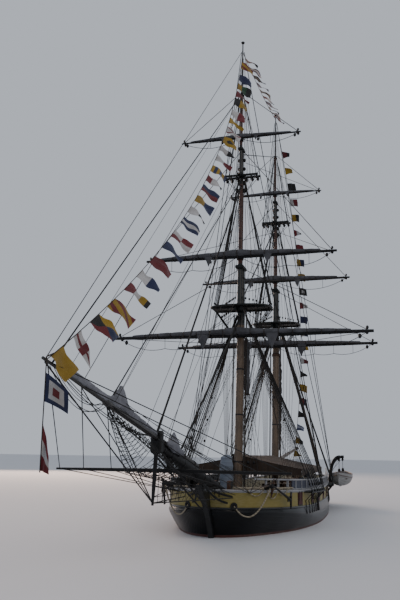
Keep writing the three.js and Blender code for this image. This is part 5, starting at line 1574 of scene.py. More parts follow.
def netting(lines, side):
    """One side of the safety net slung under the jibboom, and the guys that spread it."""
    x, z, half = SPRITSAIL.x, SPRITSAIL.z, SPRITSAIL.half
    for ahead, reach in ((37.2, 0.97), (34.6, 0.75), (32.3, 0.5), (32.3, 0.3)):
        arm = at(x, side * half * reach, z)
        lines.append(([on_spar(JIBBOOM, ahead), arm], 0.02))
        lines.append(([arm, at(16.2, side * (half_at(16.2) + 0.05), 2.45)], 0.02))
    spread = at(26.9, side * 1.3, 3.75)
    far, near = on_spar(JIBBOOM, 32.4, -0.12), on_spar(JIBBOOM, 26.8, -0.3)
    outer = [on_spar(JIBBOOM, 32.4, -0.1).lerp(spread, i / 14) for i in range(15)]
    inner = [far.lerp(near, i / 14) for i in range(15)]
    back = [spread, at(20.5, side * 1.15, 3.1), at(17.6, side * 0.95, 2.5)]
    lines += [(outer, 0.018), (back, 0.018)]
    ahead = [*zip(outer[1:], inner[1:])]
    meshes(lines, ahead, 0.22)
    meshes(lines, zip(outer[1:], inner[4:]), 0.2)
    along_net(lines, ahead, (0.2, 0.4, 0.6, 0.8), 0.88)
    inboard = []
    for i in range(13):
        inboard.append((back[0].lerp(back[1], i / 12), on_spar(BOWSPRIT, lerp(26.0, 20.4, i / 12), -0.2)))
    meshes(lines, inboard, 0.2)
    meshes(lines, [(a, b) for (a, _), (_, b) in zip(inboard, inboard[3:])], 0.24)
    meshes(lines, [(a, b) for (a, _), (_, b) in zip(inboard[3:], inboard)], 0.24)
    along_net(lines, inboard, (0.25, 0.5, 0.75), 0.8)
    low, foot = at(STRIKER_X, 0, STRIKER_TIE), at(17.3, side * 1.0, 2.1)
    under = [(on_spar(BOWSPRIT, lerp(25.6, 18.6, i / 8), -0.15, side * 0.15), (i + 1) / 10) for i in range(9)]
    meshes(lines, [(high, low.lerp(foot, share)) for high, share in under], 0.12, 6)
    for reach in (0.35, 0.8):
        high, low = STRIKER_FOOT + 1 + reach, STRIKER_FOOT + reach
        lines.append(([at(STRIKER_X, 0, low), at(20.3, side * (0.9 + 0.4 * reach), 2.9)], 0.018))
        lines.append(([at(STRIKER_X - 0.05, 0, high), at(17.3, side * (0.7 + reach), 2.4)], 0.018))


HEAD_LINES = [
    # downhauls and halyards: height on the fore mast, forward of its axis, x on the spar, spar
    (30.9, TOPGALLANT_FORWARD, 35.4, JIBBOOM),
    (26.3, TOPMAST_FORWARD, 32.0, JIBBOOM),
    (24.4, TOPMAST_FORWARD, 31.2, JIBBOOM),
    (24.2, TOPMAST_FORWARD, 28.4, JIBBOOM),
    (17.3, 0.7, 25.2, BOWSPRIT),
    (16.9, 0.7, 23.0, BOWSPRIT),
    (11.6, 0.3, 21.5, BOWSPRIT),
    (11.4, 0.3, 19.8, BOWSPRIT),
]
SLACK_LINES = [
    # foot ropes of the jibboom: x, over it and aside at one end, the same at the other, drop, steps, radius
    (26.9, 0, 0.1, 36.6, 0, 0.05, 0.5, 12, 0.018),
    (36.9, -0.05, 0.06, 32.4, -0.08, 0.1, 0.75, 14, 0.014),
    (36.4, -0.05, 0.06, 32.6, -0.08, 0.1, 0.45, 14, 0.014),
    (32.4, -0.05, 0.06, 27.6, -0.08, 0.1, 0.4, 14, 0.014),
]


def head_gear():
    part = Part("bowsprit_netting")
    net = []
    for side in HANDS:
        netting(net, side)
    part.ropes(TARRED, net)
    lines = [
        ([FORE.at(34.9, TOPGALLANT_FORWARD), on_spar(JIBBOOM, 37.3, 0.06)], 0.02),
        ([FORE.at(22.9, TOPMAST_FORWARD), on_spar(BOWSPRIT, 25.4, 0.2, 0.12)], 0.017),
        ([FORE.at(29.8, TOPGALLANT_FORWARD), on_spar(JIBBOOM, 34.6, 0.05)], 0.017),
        ([FORE.at(14.0, 0.1), on_spar(BOWSPRIT, 22.6, 0.28, -0.24)], 0.045),
        ([MAIN.at(15.5), FORE.at(3.4, -0.1)], 0.04),
    ]
    for i, (z, forward, x, spar) in enumerate(HEAD_LINES):
        aside = 0.22 * (1 if i % 2 else -1)
        lines.append(([FORE.at(z, forward, aside), on_spar(spar, x, 0.15, aside)], 0.012))
    for side in HANDS:
        lines.append(([on_spar(BOWSPRIT, 17.4, 0.9, side * 0.7), at(26.4, side * 0.24, 5.55)], 0.02))
        for x0, over0, y0, x1, over1, y1, drop, steps, radius in SLACK_LINES:
            ends = on_spar(JIBBOOM, x0, over0, side * y0), on_spar(JIBBOOM, x1, over1, side * y1)
            lines.append((hanging(*ends, drop, steps), radius))
        for i in range(4):
            x = 16.4 - 0.5 * i
            low = at(x, side * (half_at(x) - 0.1), 2.75)
            lines.append(([on_spar(JIBBOOM, 31.0 - 2.2 * i, 0.4, side * 0.15), low], 0.012))
            lines.append(([FORE.at(11.5 - 0.3 * i, 0.2, side * 0.3), low], 0.012))
    part.ropes(TARRED, lines, 5)
    part.add(pulleys([(FORE.at(5.55, -0.16), 0.34), (on_spar(BOWSPRIT, 23.8, 0.3, 0.24), 0.34)]), BLACK_TRIM)
    part.done()


ANCHOR_RING = (15.6, 3.25, 2.95)


def faked_warp(turn, side):
    """One turn of a mooring warp, laid wavy along the bow rail."""
    path = []
    for i in range(61):
        wave = 0.07 * math.sin(i * 0.55 + turn * 1.9) + 0.05 * noise.noise((i * 0.25, turn * 3.0, side))
        up = 0.06 + 0.055 * (turn % 2) + 0.04 * abs(noise.noise((i * 0.3, turn, 5.0)))
        path.append(beside(lerp(HAWSE_X, 12.4, i / 60), wave - 0.03 + 0.03 * turn, RAIL_HEIGHT + up, side))
    return path


def coil(top, side):
    """Two turns of line hung on a belaying pin."""
    loop = []
    for k in range(25):
        angle = math.tau * k / 12
        wide, down = 0.11 + 0.02 * math.sin(k), math.cos(angle)
        loop.append(top + at(wide * math.sin(angle), -side * 0.02 * down, 0.2 * down - 0.12))
    return loop


def warps_and_coils():
    """Warps on the bow rail, the anchors' cables in a bight to their rings, and coils on the pins."""
    part = Part("bow_warps")
    lines, coils = [], []
    for side in HANDS:
        lines += [(faked_warp(turn, side), 0.038) for turn in range(4)]
        for x, drop in ((15.8, 0.35), (14.6, 0.5), (13.6, 0.3)):
            ends = [beside(x + step, 0.1, RAIL_HEIGHT + 0.02, side) for step in (0.5, -0.5)]
            lines.append((hanging(*ends, drop, 12), 0.03))
        x, y, z = ANCHOR_RING
        lines.append((hanging(beside(HAWSE_X, 0.05, 0.1, side), at(x, side * y, z), 1.1, 20), 0.045))
        for mast in MASTS:
            tops = [pin(mast.channel[0] + 0.2 - PIN_STEP * i, side, 0.2) for i in range(12)]
            coils += [(coil(top, side), 0.017) for top in tops]
    part.ropes(PALE_ROPE, lines, 6)
    part.ropes(HEMP, coils)
    part.done()


def squared(value):
    """A sine or cosine drawn out towards the corners of a square."""
    return math.copysign(abs(value) ** 0.6, value)


def covered_heap(x0, x1, low, high, side):
    """The shape of a heap of gear under its cover, as a function of two shares."""

    def place(u, v):
        angle = math.tau * v
        x = lerp(x0, x1, u)
        end = min(1, 8 * u + 0.2, 8 * (1 - u) + 0.2)
        fold = 1 + 0.12 * around(angle, x * 1.6, 2)
        out = 0.2 * fold * end * squared(math.cos(angle))
        up = lerp(low, high, 0.5 + 0.5 * fold * end * squared(math.sin(angle)))
        return at(x, side * (half_at(x) - 0.42 + out), deck_at(x) + up)

    return place


def covered_gear():
    """Hammocks and spare gear lashed inside the rail by the fore shrouds, under tarpaulins."""
    part = Part("tarpaulin_covers")
    for side in HANDS:
        for x0, x1, low, high in ((9.4, 7.9, 0.75, 1.75), (7.5, 5.6, 0.8, 2.2), (5.2, 3.6, 0.75, 1.9)):
            place = covered_heap(x0, x1, low, high, side)
            part.add(shut(fabric(26, 24, place)), TARPAULIN)
            lashings = [[place(share, k / 16) for k in range(17)] for share in (0.25, 0.5, 0.75)]
            part.ropes(PALE_ROPE, [(lashing, 0.018) for lashing in lashings])
            for x in (x0 - 0.2, x1 + 0.2):
                foot = at(x, side * (half_at(x) - 0.42), deck_at(x))
                part.add(stick(foot, foot + at(0, 0, low + 0.2), 0.05), OILED)
    part.done(sharp=60)


def head_rails():
    part = Part("stem_head_rails")
    part.block(BLACK_TRIM, 18.9, 19.3, -0.26, 0.26, 2.8, 3.02, 0.05)
    lines = []
    for side in HANDS:
        for x, y, z in ((17.05, 1.25, 2.3), (17.16, 1.0, 1.95)):
            rail = at(x, side * y, z), at(18.1, side * y * 0.5, z + 0.16), at(19.1, side * 0.2, 2.96)
            lines.append((bent(*rail, 8), 0.06))
        for k in (0.3, 0.55):
            low = at(lerp(17.3, 18.9, k), side * lerp(0.85, 0.3, k), lerp(2.1, 2.75, k))
            lines.append(([low, low + at(0, 0, 0.3)], 0.035))
    part.ropes(BLACK_TRIM, lines, 8)
    part.done("head_rails")


def cathead(label, side):
    """A cathead with its anchor hung outside the bow, one fluke up and one down."""
    part = Part("anchor_" + label)
    timber = at(14.9, side * 2.35, 2.65), at(15.75, side * 3.35, 2.88)
    part.add(turned(*timber, [(0, 0.125), (0.96, 0.125), (1, 0.1)], 4), BLACK_TRIM)
    part.add(hoop(timber[0].lerp(timber[1], 0.9), timber[0].lerp(timber[1], 0.97), 0.06, 0.14, 12), IRON)
    x, y, z = ANCHOR_RING
    crown = at(13.4, side * 3.98, 2.0)
    part.add(turned(at(x, side * y, z), crown, [(0, 0.05), (0.4, 0.055), (1, 0.085)], 10), IRON)
    low, high = at(13.3, side * 3.98, 1.5), at(13.6, side * 4.05, 2.45)
    part.ropes(IRON, [(bent(low, crown + at(-0.12, 0, 0), high, 8), 0.065)], 8)
    for tip, turn in ((low, -1), (high, 1)):
        centre = tip + at(0.06, 0, -0.1 * turn)
        half = at(0, side * 0.02, 0)
        part.add(stick(centre - half, centre + half, 0.13, 5), IRON)
    stock = at(15.3, side * 3.15, 2.2), at(15.7, side * 3.4, 3.25)
    part.add(turned(*stock, [(0, 0.045), (0.5, 0.085), (1, 0.045)], 8), OILED)
    for k in (0.25, 0.4, 0.6, 0.75):
        near = stock[0].lerp(stock[1], k)
        part.add(hoop(near, near.lerp(stock[1], 0.04), 0.04, 0.09, 10), IRON)
    part.done("cathead_" + label, sharp=32)


# Awning and windsail

AWNING_FOLD = 0.86  # share of its half width where the awning turns down over its edge


def awning_point(u, v):
    """The awning: from one hem up over its ridge to the other, slack between its posts."""
    x = lerp(AWNING.ahead, AWNING.aft, u)
    half = awning_half(x)
    girth = (v - 0.5) * 2
    between = min(min(abs(x - post) for post in [AWNING.ahead, *AWNING_POSTS]) / 1.2, 1)
    share = abs(girth) / AWNING_FOLD
    if share > 1:
        down = (abs(girth) - AWNING_FOLD) / 0.14
        ruffle = 0.025 * math.sin(x * 6.3) * down
        low = lerp(AWNING.eave, AWNING.hem + 0.08 * between, down)
        return at(x, math.copysign(half - 0.01 + ruffle, girth), low)
    slack = 0.07 * between + 0.02 * noise.noise((x * 1.6, girth * 3, 4.0))
    sag = slack * math.sin(math.pi * min(share * 1.02, 1)) + 0.05 * math.sin(math.pi * share)
    return at(x, girth / AWNING_FOLD * half, lerp(AWNING.ridge, AWNING.eave, share) - sag)


def curtain_point(u, v):
    """The curtain across the awning's front."""
    half = awning_half(AWNING.ahead) - 0.015
    y = lerp(-half, half, u)
    top = lerp(AWNING.ridge, AWNING.eave, abs(y) / half) - 0.05 * math.sin(math.pi * abs(y) / half)
    bulge = 0.05 * math.sin(y * 4.4) * (1 - v) + 0.03 * noise.noise((y * 2, v * 2, 9.0))
    return at(AWNING.ahead - 0.03 + bulge * 0.6, y, lerp(AWNING.hem, top, v))


def awning():
    part = Part("awning_cloth")
    part.add(fabric(96, 48, awning_point), AWNING_CLOTH)
    part.add(fabric(64, 12, curtain_point), AWNING_CLOTH)
    piece = part.done("awning", sharp=70)


# Share of the chute's height, radius
CHUTE = [(0.0, 0.4), (0.25, 0.43), (0.5, 0.44), (0.7, 0.45), (0.93, 0.39), (1.0, 0.13)]
CHUTE_X, CHUTE_Y = 11.9, -0.35
CHUTE_FOOT, CHUTE_TOP = deck_at(12.5) + 0.8, 4.58


def chute_point(u, v):
    """The windsail: a canvas chute on three hoops, drawn together at its top."""
    turn = math.tau * v
    i = max(k for k in range(len(CHUTE) - 1) if CHUTE[k][0] <= min(u, 0.999))
    (low, wide), (high, next_wide) = CHUTE[i : i + 2]
    hooped = abs((u * 3) % 1 - 0.5) * 2
    size = lerp(wide, next_wide, (u - low) / (high - low))
    size *= 1 - 0.1 * (1 - hooped) + 0.07 * round_end(turn, 2.6, u * 3)
    z = lerp(CHUTE_FOOT + 0.01, CHUTE_TOP, u)
    return at(CHUTE_X + size * math.cos(turn), CHUTE_Y + size * math.sin(turn), z)


def windsail():
    part = Part("windsail_cloth")
    shape = fabric(44, 32, chute_point)
    bmesh.ops.remove_doubles(shape, verts=shape.verts, dist=2e-5)
    bmesh.ops.recalc_face_normals(shape, faces=shape.faces)
    part.add(shape, WINDSAIL)
    piece = part.done("windsail", sharp=70)
    halyard = Part("windsail_halyard")
    head = at(CHUTE_X, CHUTE_Y, CHUTE_TOP - 0.03)
    halyard.ropes(HEMP, [([head, FORE.at(12.0, 0.3, -0.3)], 0.016)], 5)
    halyard.done()


# Boats

BOAT = SimpleNamespace(x=-11.1, length=5.8, half=1.0, keel=1.98, rail=2.97, lift=0.25, y=4.85)
DAVIT_X = (-9.2, -13.0)
LAPS = 8  # strakes of the planking to a side


def boat_ring(share, v, side, inside):
    """A point on a quarter boat's planking: v from the port rail round the keel to the starboard one."""
    half = max(BOAT.half * (1 - abs(share) ** 2.6) - inside, 0.04)
    low = BOAT.keel + 0.35 * share**4 + inside
    high = BOAT.rail + BOAT.lift * share**2
    hand = 2 * v - 1
    bilge = math.radians(90 * abs(hand))
    out, up = math.sin(bilge) ** 0.8, 1 - math.cos(bilge) ** 0.9
    lap = 0.012 * (1 - (abs(hand) * LAPS) % 1) if not inside else 0
    x = BOAT.x + share * BOAT.length / 2 * (1 - inside * 0.6)
    return at(x, side * BOAT.y + math.copysign((half + lap) * out, hand), lerp(low, high, up))


def boat_line(v, side, inside, steps=20):
    return [boat_ring(2 * i / steps - 1, v, side, inside) for i in range(steps + 1)]


def boat_shell(side):
    """A boat's planking joined to its lining along the rails, so that it is a shell with a thickness."""
    shell = fabric(44, 48, lambda u, v: boat_ring(2 * u - 1, v, side, 0))
    lining = fabric(44, 16, lambda u, v: boat_ring(2 * u - 1, v, side, 0.05))
    step = bpy.data.meshes.new("step")
    lining.to_mesh(step)
    lining.free()
    shell.from_mesh(step)
    bpy.data.meshes.remove(step)
    bmesh.ops.remove_doubles(shell, verts=shell.verts, dist=1e-5)
    bmesh.ops.bridge_loops(shell, edges=[edge for edge in shell.edges if edge.is_boundary])
    bmesh.ops.recalc_face_normals(shell, faces=shell.faces)
    return shell


def quarter_boat(label, side):
    """A boat on its davits, with its thwarts, its oars and the falls that it hangs by."""
    part = Part("quarter_boat_hull_" + label)
    part.add(boat_shell(side), BOAT_WHITE)
    rails = [(boat_line(v, side, 0.02), 0.045) for v in (0.0, 1.0)]
    strakes = [(boat_line(v, side, -0.012), 0.03) for v in (0.07, 0.93)]
    part.ropes(BOAT_RED, rails + strakes, 6)
    ends = [boat_ring(share, 0.0, side, -0.02) for share in (-1, 1)]
    part.ropes(BOAT_WHITE, [([ends[0], *boat_line(0.5, side, -0.02, 16), ends[1]], 0.05)], 6)
    y = side * BOAT.y
    for x in (-9.2, -10.6, -11.8, -13.0):
        part.block(OILED, x - 0.12, x + 0.12, y - 0.7, y + 0.7, 2.6, 2.66, 0.012)
    for out in (-0.25, 0.25):
        oar = at(BOAT.x - 2.0, y + out, 2.73), at(BOAT.x + 2.0, y + out, 2.73)
        part.add(turned(*oar, [(0, 0.035), (0.7, 0.03), (1, 0.05)], 8), OILED)
    falls, sheaves = [], []
    for x in DAVIT_X:
        for shift in (-0.05, 0, 0.05):
            falls.append(([at(x + shift, y, 2.65), at(x + shift, y, 4.4)], 0.016))
        sheaves += [(at(x, y, 3.35), 0.34), (at(x, y, 4.28), 0.3)]
    part.ropes(HEMP, falls)
    part.add(pulleys(sheaves), BLACK_TRIM)
    part.done("quarter_boat_" + label, sharp=40)


def davits(label, side):
    """Two curved iron davits, the bar between their feet and the guys of their heads."""
    part = Part("davit_irons_" + label)
    irons, head_y = [], side * (BOAT.y + 0.1)
    spans = [([at(x, head_y, 4.5) for x in DAVIT_X], 0.014)]
    for x, away in zip(DAVIT_X, (1.6, -1.6)):
        y = half_at(x) + CAP + 0.09
        curve = at(x, side * y, 1.9), at(x, side * (y + 0.05), 4.6), at(x, side * (BOAT.y + 0.12), 4.53)
        irons.append((bent(*curve, 14), 0.14))
        part.add(stick(at(x, side * y, 1.86), at(x, side * y, 2.1), 0.12), BLACK_TRIM)
        spans.append(([at(x, head_y, 4.52), beside(x + away, -0.06, 1.0, side)], 0.014))
    part.ropes(BLACK_TRIM, irons, 10)
    bar_ends = [at(x, side * (half_at(x) + CAP + 0.05), 2.1) for x in (DAVIT_X[0] + 0.1, DAVIT_X[1] - 0.1)]
    part.ropes(BLACK_TRIM, [(bar_ends, 0.09)], 6)
    part.ropes(TARRED, spans)
    part.done("davits_" + label)


# Rudder and wheel


def rudder_at(z):
    return at(lerp(-16.72, -17.05, (z + 3.25) / 4.85), 0, z)


def rudder():
    part = Part("rudder_blade", "rudder")
    outline = [(0, -3.5), (-1.35, -3.5), (-1.3, -1.6), (-0.9, 0.1), (-0.75, 0.5), (0, 0.5)]
    blade = plate(outline, 0.24, lambda a, b, c: at(rudder_at(b).x / SCALE + a, c - 0.12, b))
    part.add(soften(blade, 0.02, 1), lambda face: COPPER if below(face, BOOT_TOP) else HULL_BLACK)
    part.add(stick(rudder_at(-3.5), rudder_at(2.5), 0.155, 20), OILED)
    part.add(turned(rudder_at(2.3), at(-15.35, 0, 2.45), [(0, 0.08), (1, 0.05)], 12), OILED)
    for z in (-2.8, -1.3, 0.2):
        part.add(hoop(rudder_at(z), rudder_at(z + 0.12), 0.14, 0.165), IRON)
    part.done("rudder", sharp=32)


def wheel():
    part = Part("wheel_spokes", "wheel")
    centre = at(WHEEL_X, 0, AXLE_Z)

    def axis(half):
        return centre - at(half, 0, 0), centre + at(half, 0, 0)

    part.add(hoop(*axis(0.045), 0.57, 0.67, 36), OILED)
    part.add(turned(*axis(0.28), [(0, 0.1), (0.5, 0.12), (1, 0.1)], 18), OILED)
    part.add(stick(*axis(0.44), 0.04), IRON)
    spoke = [(0, 0.024), (0.5, 0.034), (0.78, 0.024), (0.84, 0.03), (0.94, 0.032), (1, 0.018)]
    for i in range(10):
        turn = math.tau * i / 10
        out = at(0, math.cos(turn), math.sin(turn))
        part.add(turned(centre + out * 0.09, centre + out * 0.78, spoke, 8), OILED)
    part.done("steering_wheel", sharp=32)


# Flags

LINE = 0.025  # radius of the line they are laced to
RED, YELLOW, BLUE = "5c0d17", "856a0a", "0f1b40"
WHITE, BLACK, GREEN = "a5a5a6", "0a0b0f", "143a24"
JOINS = {"cross": "MINIMUM", "border": "MAXIMUM", "saltire": "SUBTRACT"}


def layout_share(tree, layout):
    """How far a point of a flag lies through its design, by the way its pieces are sewn together."""
    place = add(tree, "TexCoord", out="UV")
    along = add(tree, "SeparateXYZ", {0: place}, out="X")
    across = along.node.outputs["Y"]
    if layout == "fly":
        return along
    if layout == "hoist":
        return across
    if layout == "triangles":
        turned_place = {"Vector": place, "Location": (0, -math.sqrt(0.5), 0), "Rotation": (0, 0, math.pi / 4)}
        centred = add(tree, "Mapping", turned_place)
        return add(tree, "TexGradient", {"Vector": centred}, out="Fac", gradient_type="RADIAL")
    if layout == "slant":
        both = add(tree, "Math", {0: along, 1: across}, operation="ADD")
        return add(tree, "Math", {0: both, 1: 0.5}, operation="MULTIPLY")
    if layout == "quarters":
        nudged = add(tree, "Mapping", {"Vector": place, "Location": (0.001, 0.001, 0.5)})
        return add(tree, "TexChecker", {"Vector": nudged, "Scale": 2.0}, out=1)
    if layout == "ball":
        met = add(tree, "VectorMath", {0: place, 1: (0.5, 0.5, 0)}, out="Value", operation="DISTANCE")
    else:
        offs = [add(tree, "Math", {0: way, 1: 0.5}, operation="SUBTRACT") for way in (along, across)]
        left, up = (add(tree, "Math", {0: off}, operation="ABSOLUTE") for off in offs)
        met = add(tree, "Math", {0: left, 1: up}, operation=JOINS[layout])
    spread = add(tree, "Math", {0: met}, operation="ABSOLUTE")
    return add(tree, "Math", {0: spread, 1: 2.0}, operation="MULTIPLY")


def bunting(name, layout, *bands):
    """Wool bunting: thin, matt and open-woven, a little sooted, sewn in bands of (share, colour)."""
    material, tree = begin("bunting_" + name, "bunting", 0.85, Sheen_Weight=0.1)
    ramp = [(stop, colour(code)) for stop, code in bands]
    sewn = add(tree, "ValToRGB", {"Fac": layout_share(tree, layout)}, ramp)
    sewn.node.color_ramp.interpolation = "CONSTANT"
    place = add(tree, "TexCoord", out="Object")
    soot = add(tree, "TexNoise", {"Vector": place, "Scale": 2.2, "Detail": 5.0})
    faded = add(tree, "ValToRGB", {"Fac": soot}, [(0.3, (0.62, 0.6, 0.58, 1)), (0.62, FULL)])
    coat = add(tree, "VectorMath", {0: sewn, 1: faded}, operation="MULTIPLY")
    weave = add(tree, "TexChecker", {"Vector": place, "Scale": 220.0}, out=1)
    return coated(material, coat, weave, 0.12, 0.002)


DESIGNS = {
    "yellow": ("fly", (0, YELLOW)),
    "red": ("fly", (0, RED)),
    "blue": ("fly", (0, BLUE)),
    "dark": ("fly", (0, BLACK)),
    "red_cross": ("cross", (0, RED), (0.22, WHITE)),
    "four_triangles": ("triangles", (0, BLACK), (0.25, RED), (0.5, BLUE), (0.75, YELLOW)),
    "slanted": ("slant", (0, YELLOW), (0.16, RED), (0.32, YELLOW), (0.5, RED), (0.66, YELLOW), (0.84, RED)),
    "white_blue": ("fly", (0, WHITE), (0.5, BLUE)),
    "quartered": ("quarters", (0, RED), (0.5, WHITE)),
    "blue_white_blue": ("hoist", (0, BLUE), (0.33, WHITE), (0.66, BLUE)),
    "white_dark": ("fly", (0, WHITE), (0.55, BLACK)),
    "yellow_blue": ("fly", (0, YELLOW), (0.5, BLUE)),
    "blue_red": ("hoist", (0, RED), (0.5, BLUE)),
    "red_white": ("fly", (0, RED), (0.5, WHITE)),
    "blue_yellow_stripes": (
        "fly", (0, YELLOW), (0.17, BLUE), (0.34, YELLOW), (0.5, BLUE), (0.67, YELLOW), (0.84, BLUE)
    ),
    "yellow_ball": ("ball", (0, BLACK), (0.45, YELLOW)),
    "white_red": ("fly", (0, WHITE), (0.5, RED)),
    "yellow_black": ("fly", (0, YELLOW), (0.5, BLACK)),
    "red_white_red": ("hoist", (0, RED), (0.33, WHITE), (0.66, RED)),
    "tricolour_border": ("border", (0, RED), (0.3, WHITE), (0.66, BLUE)),
    "three_bands": ("fly", (0, WHITE), (0.34, RED), (0.67, BLUE)),
    "green_black": ("fly", (0, YELLOW), (0.34, GREEN), (0.67, BLACK)),
    "saltire": ("saltire", (0, WHITE), (0.2, BLUE)),
    "white_red_saltire": ("saltire", (0, RED), (0.16, WHITE)),
    "red_dark": ("fly", (0, "4d1218"), (0.6, BLACK)),
    "pale_blue": ("hoist", (0, "59647f"), (0.3, "8d93a5"), (0.6, "3d4868")),
    "dark_white": ("border", (0, WHITE), (0.4, BLACK)),
    "black_yellow": ("fly", (0, BLACK), (0.4, YELLOW)),
    "pennant_three": ("fly", (0, RED), (0.34, WHITE), (0.6, YELLOW), (0.85, BLACK)),
    "red_white_dark": ("fly", (0, RED), (0.33, WHITE), (0.8, BLACK)),
}
FLAGS = {name: bunting(name, *design) for name, design in DESIGNS.items()}
TAIL, PENNANT, SQUARE = 0.12, 0.45, 1.0  # share of the hoist left at the fly
FORE_FLAGS = [
    # where along the line, design, shape
    (0.083, "four_triangles", SQUARE), (0.119, "slanted", SQUARE), (0.16, "pennant_three", PENNANT),
    (0.194, "white_blue", PENNANT), (0.235, "red", SQUARE), (0.28, "blue", PENNANT),
    (0.315, "quartered", SQUARE), (0.36, "blue_white_blue", SQUARE), (0.397, "white_dark", TAIL),
    (0.436, "yellow_blue", SQUARE), (0.476, "blue_red", SQUARE), (0.51, "red_white_dark", TAIL),
    (0.547, "blue_yellow_stripes", SQUARE), (0.587, "white_red", PENNANT), (0.625, "white_dark", TAIL),
    (0.659, "yellow_ball", SQUARE), (0.697, "white_red_saltire", SQUARE), (0.733, "yellow", TAIL),
    (0.765, "white_red", SQUARE), (0.81, "black_yellow", SQUARE), (0.838, "red", TAIL),
    (0.868, "green_black", SQUARE), (0.902, "blue", SQUARE), (0.95, "slanted", SQUARE),
]
MIDDLE_FLAGS = [
    ("red_dark", TAIL), ("blue_white_blue", SQUARE), ("dark", TAIL), ("blue", PENNANT), ("dark", SQUARE),
    ("red_white_dark", TAIL), ("blue", SQUARE), ("dark", PENNANT), ("saltire", SQUARE), ("blue_red", TAIL),
]
AFT_FLAGS = [
    ("red_dark", PENNANT), ("yellow", PENNANT), ("dark", SQUARE), ("white_red", SQUARE),
    ("yellow_black", SQUARE), ("red_white_dark", TAIL), ("red", SQUARE), ("yellow_blue", SQUARE),
    ("yellow", SQUARE), ("dark_white", SQUARE), ("red_white", PENNANT), ("blue", SQUARE),
    ("white_blue", PENNANT), ("yellow", PENNANT), ("white_red", PENNANT), ("dark", TAIL), ("yellow", SQUARE),
    ("three_bands", SQUARE), ("dark", PENNANT), ("pale_blue", PENNANT), ("yellow_black", PENNANT),
    ("yellow", TAIL),
]
LINES = {
    # hoist and fly of the flags, and the way they stream
    "fore": (0.85, 1.05, (-0.15, 0.65, -0.4)),
    "middle": (0.76, 1.12, (-0.15, 0.85, -0.32)),
    "aft": (0.72, 0.78, (-0.1, 0.8, -0.15)),
}


def evenly(rows, first, step):
    return [(first + i * step, *row) for i, row in enumerate(rows)]


def flag(part, foot, hoist_way, fly_way, hoist, fly, taper, design, seed):
    """One flag: it swells and droops more the further it is from its line."""
    face = hoist_way.cross(fly_way).normalized()

    def place(u, v):
        wave = 0.1 * math.sin(5.2 * u + 2.1 * v + seed) + 0.07 * noise.noise((u * 3, v * 3, seed))
        up = (v - 0.5) * hoist * lerp(1, taper, u)
        out = u * fly * (1 - 0.05 * math.cos(seed))
        off = hoist_way * up + fly_way * out + face * wave * min(2.2 * u, 1)
        return foot + off * SCALE + at(0, 0, -0.16 * u * u * fly)

    part.add(fabric(12, 8, place), FLAGS[design])


def flag_line(label, ends, rows, extra=()):
    """A dressing line with its flags, each laced to it along its hoist."""
    cord = Part(f"dressing_line_{label}_rope")
    cord.ropes(HEMP, [(bent(*ends, 40), LINE * 0.8), *extra], 5)
    cord.done("dressing_line_" + label)
    hoist, fly, stream = LINES[label]
    part = Part(f"dressing_line_{label}_flags")
    area = 0.0
    for i, (t, design, taper) in enumerate(rows):
        tangent = (bow_of(*ends, t + 0.002) - bow_of(*ends, t - 0.002)).normalized()
        out = Vector((-tangent.z, 0, tangent.x))
        if out.z > 0:
            out.negate()
        out = (out * 0.2 + Vector(stream)).normalized()
        out = (out - tangent * out.dot(tangent)).normalized()
        flag(part, bow_of(*ends, t), tangent, out, hoist, fly, taper, design, i * 1.7)
        area += hoist * fly * (1 + taper) / 2
    return part, area


def declare_bunting(part, area, fly, hoist):
    """Finishes the piece that holds all the flags of a line, and works out their area in the model."""
    piece = part.done(sharp=75)
    area = min(area, 0.999 * hoist * fly) * SCALE**2


def fore_line():
    """The line from the jibboom's end to the fore truck, with four more flags at its foot and hung below."""
    line = at(37.3, 0.02, 7.46), at(17, 0.6, 19), FORE.at(34.75, TOPGALLANT_FORWARD, 0.02)
    x, y = 37.42, 0.09
    block_place = at(x, y, 7.55)
    hung = [([bow_of(*line, 0.012), block_place], LINE), ([block_place, at(x, y, 4.0)], 0.02)]
    part, area = flag_line("fore", line, FORE_FLAGS, hung)
    up, down = (line[1] - line[0]).normalized(), Vector((0, 0, -1))
    length = len(FORE_FLAGS) * LINES["fore"][1]
    for place, hoist_way, stream, hoist, fly, taper, design in (
        (bow_of(*line, 0.016), up, (-0.2, 0.55, -0.8), 0.9, 0.84, 0.95, "yellow"),
        (bow_of(*line, 0.05), up, (-0.1, 0.42, -0.9), 0.68, 1.2, 0.35, "red_cross"),
        (at(x, y, 6.6), down, (-0.25, 0.86, -0.43), 0.9, 0.8, 0.76, "tricolour_border"),
        (at(x, y, 4.78), down, (-0.13, 0.46, -0.87), 1.45, 0.54, 0.36, "red_white_red"),
    ):
        out = Vector(stream).normalized()
        flag(part, place, hoist_way, out, hoist, fly, taper, design, fly * 5)
        area += hoist * fly * (1 + taper) / 2 * hoist_way.cross(out).length
        length += fly
    declare_bunting(part, area, length, 0.9)


def even_line(label, ends, flags, first, step):
    part, area = flag_line(label, ends, evenly(flags, first, step))
    hoist, fly, _ = LINES[label]
    declare_bunting(part, area, len(flags) * fly, hoist)


def dressing_lines():
    fore_line()
    ends = FORE.at(34.75, TOPGALLANT_FORWARD - 0.02), MAIN.at(36.05, TOPGALLANT_FORWARD + 0.02)
    even_line("middle", (ends[0], at(1.2, 0, 34.9), ends[1]), MIDDLE_FLAGS, 0.08, 0.093)
    stern = at(-18.55, -0.9, deck_at(STERN_X) + RAIL_HEIGHT - 0.03)
    aft = MAIN.at(36.05, TOPGALLANT_FORWARD - 0.02), at(-16.2, 2.2, 19), stern
    even_line("aft", aft, AFT_FLAGS, 0.085, 0.0405)


# Everything together, then light


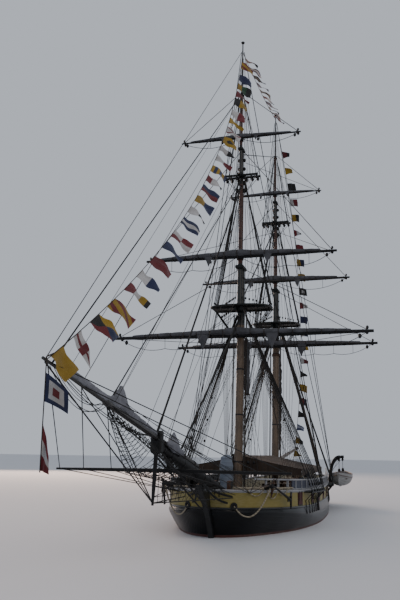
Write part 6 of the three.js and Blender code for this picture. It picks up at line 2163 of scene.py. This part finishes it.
def carried_over():
    """The CAD keel and stays keep their shapes and take their finishes."""
    stays = ("fore_stay", "fore_topmast_stay", "jib_stay", "fore_topgallant_stay")
    stays += ("main_stay", "main_topmast_stay", "main_topgallant_stay")
    for node in ("keel", *stays):
        for place in bpy.data.objects[node].material_slots:
            place.material = STEM_PAINT if node == "keel" else TARRED


hull()
bulwark()
for label, side in SIDES:
    upper_rail(label, side)
    cathead(label, side)
    quarter_boat(label, side)
    davits(label, side)
    for mast in MASTS:
        rigging(mast, label, side)
deck()
deck_fittings()
for mast in MASTS:
    lower_mast(mast)
    topmast(mast)
    topgallant_mast(mast)
    fighting_top(mast)
    for kind in KINDS:
        yard = yard_of(mast, kind)
        yard_spar(yard)
        furled_sail(yard)
        braces(yard)
        buntlines(yard)
running_rigging()
swung_spar("boom", BOOM)
swung_spar("gaff", GAFF)
driver()
fore_trysail()
bowsprit()
jibboom()
martingale()
spritsail_yard()
furled_jibs()
head_gear()
head_rails()
warps_and_coils()
staysail()
covered_gear()
awning()
windsail()
rudder()
wheel()
dressing_lines()
carried_over()


def floor():
    data = bpy.data.meshes.new("floor")
    shape = bmesh.new()
    bmesh.ops.create_grid(shape, x_segments=1, y_segments=1, size=400)
    shape.to_mesh(data)
    shape.free()
    put("floor", data)
    material, tree = begin("pale_floor", "white_paint", 0.85)
    place = add(tree, "TexCoord", out="Object")
    patches = add(tree, "TexNoise", {"Vector": place, "Scale": 0.05, "Detail": 2.0})
    tones = {0: patches, 6: colour("c9cbd0"), 7: colour("d2d3d6")}
    tone = add(tree, "Mix", tones, out=2, data_type="RGBA")
    tree.links.new(tone, tree.nodes["Principled BSDF"].inputs["Base Color"])
    data.materials.append(material)


def lamp(name, place, target, size, power, tint):
    data = bpy.data.lights.new(name, "AREA")
    data.shape = "DISK"
    data.size = size
    data.energy = power
    data.color = colour(tint)[:3]
    facing = (target - place).to_track_quat("-Z", "Y").to_matrix().to_4x4()
    put(name, data).matrix_world = Matrix.Translation(place) @ facing


def studio():
    floor()
    world = bpy.data.worlds.new("pale_sky")
    bpy.context.scene.world = world
    world.use_nodes = True
    back = world.node_tree.nodes["Background"]
    back.inputs["Color"].default_value = colour("ccd2dc")
    back.inputs["Strength"].default_value = 0.85
    middle = at(6, 0, 12)
    lamp("key", at(60, 62, 58), middle, 34, 4500, "ffeedd")
    lamp("fill", at(70, -50, 24), middle, 40, 1200, "dfe8f7")
    lamp("rim", at(-95, -75, 50), middle, 34, 23000, "ffdcc2")


studio()
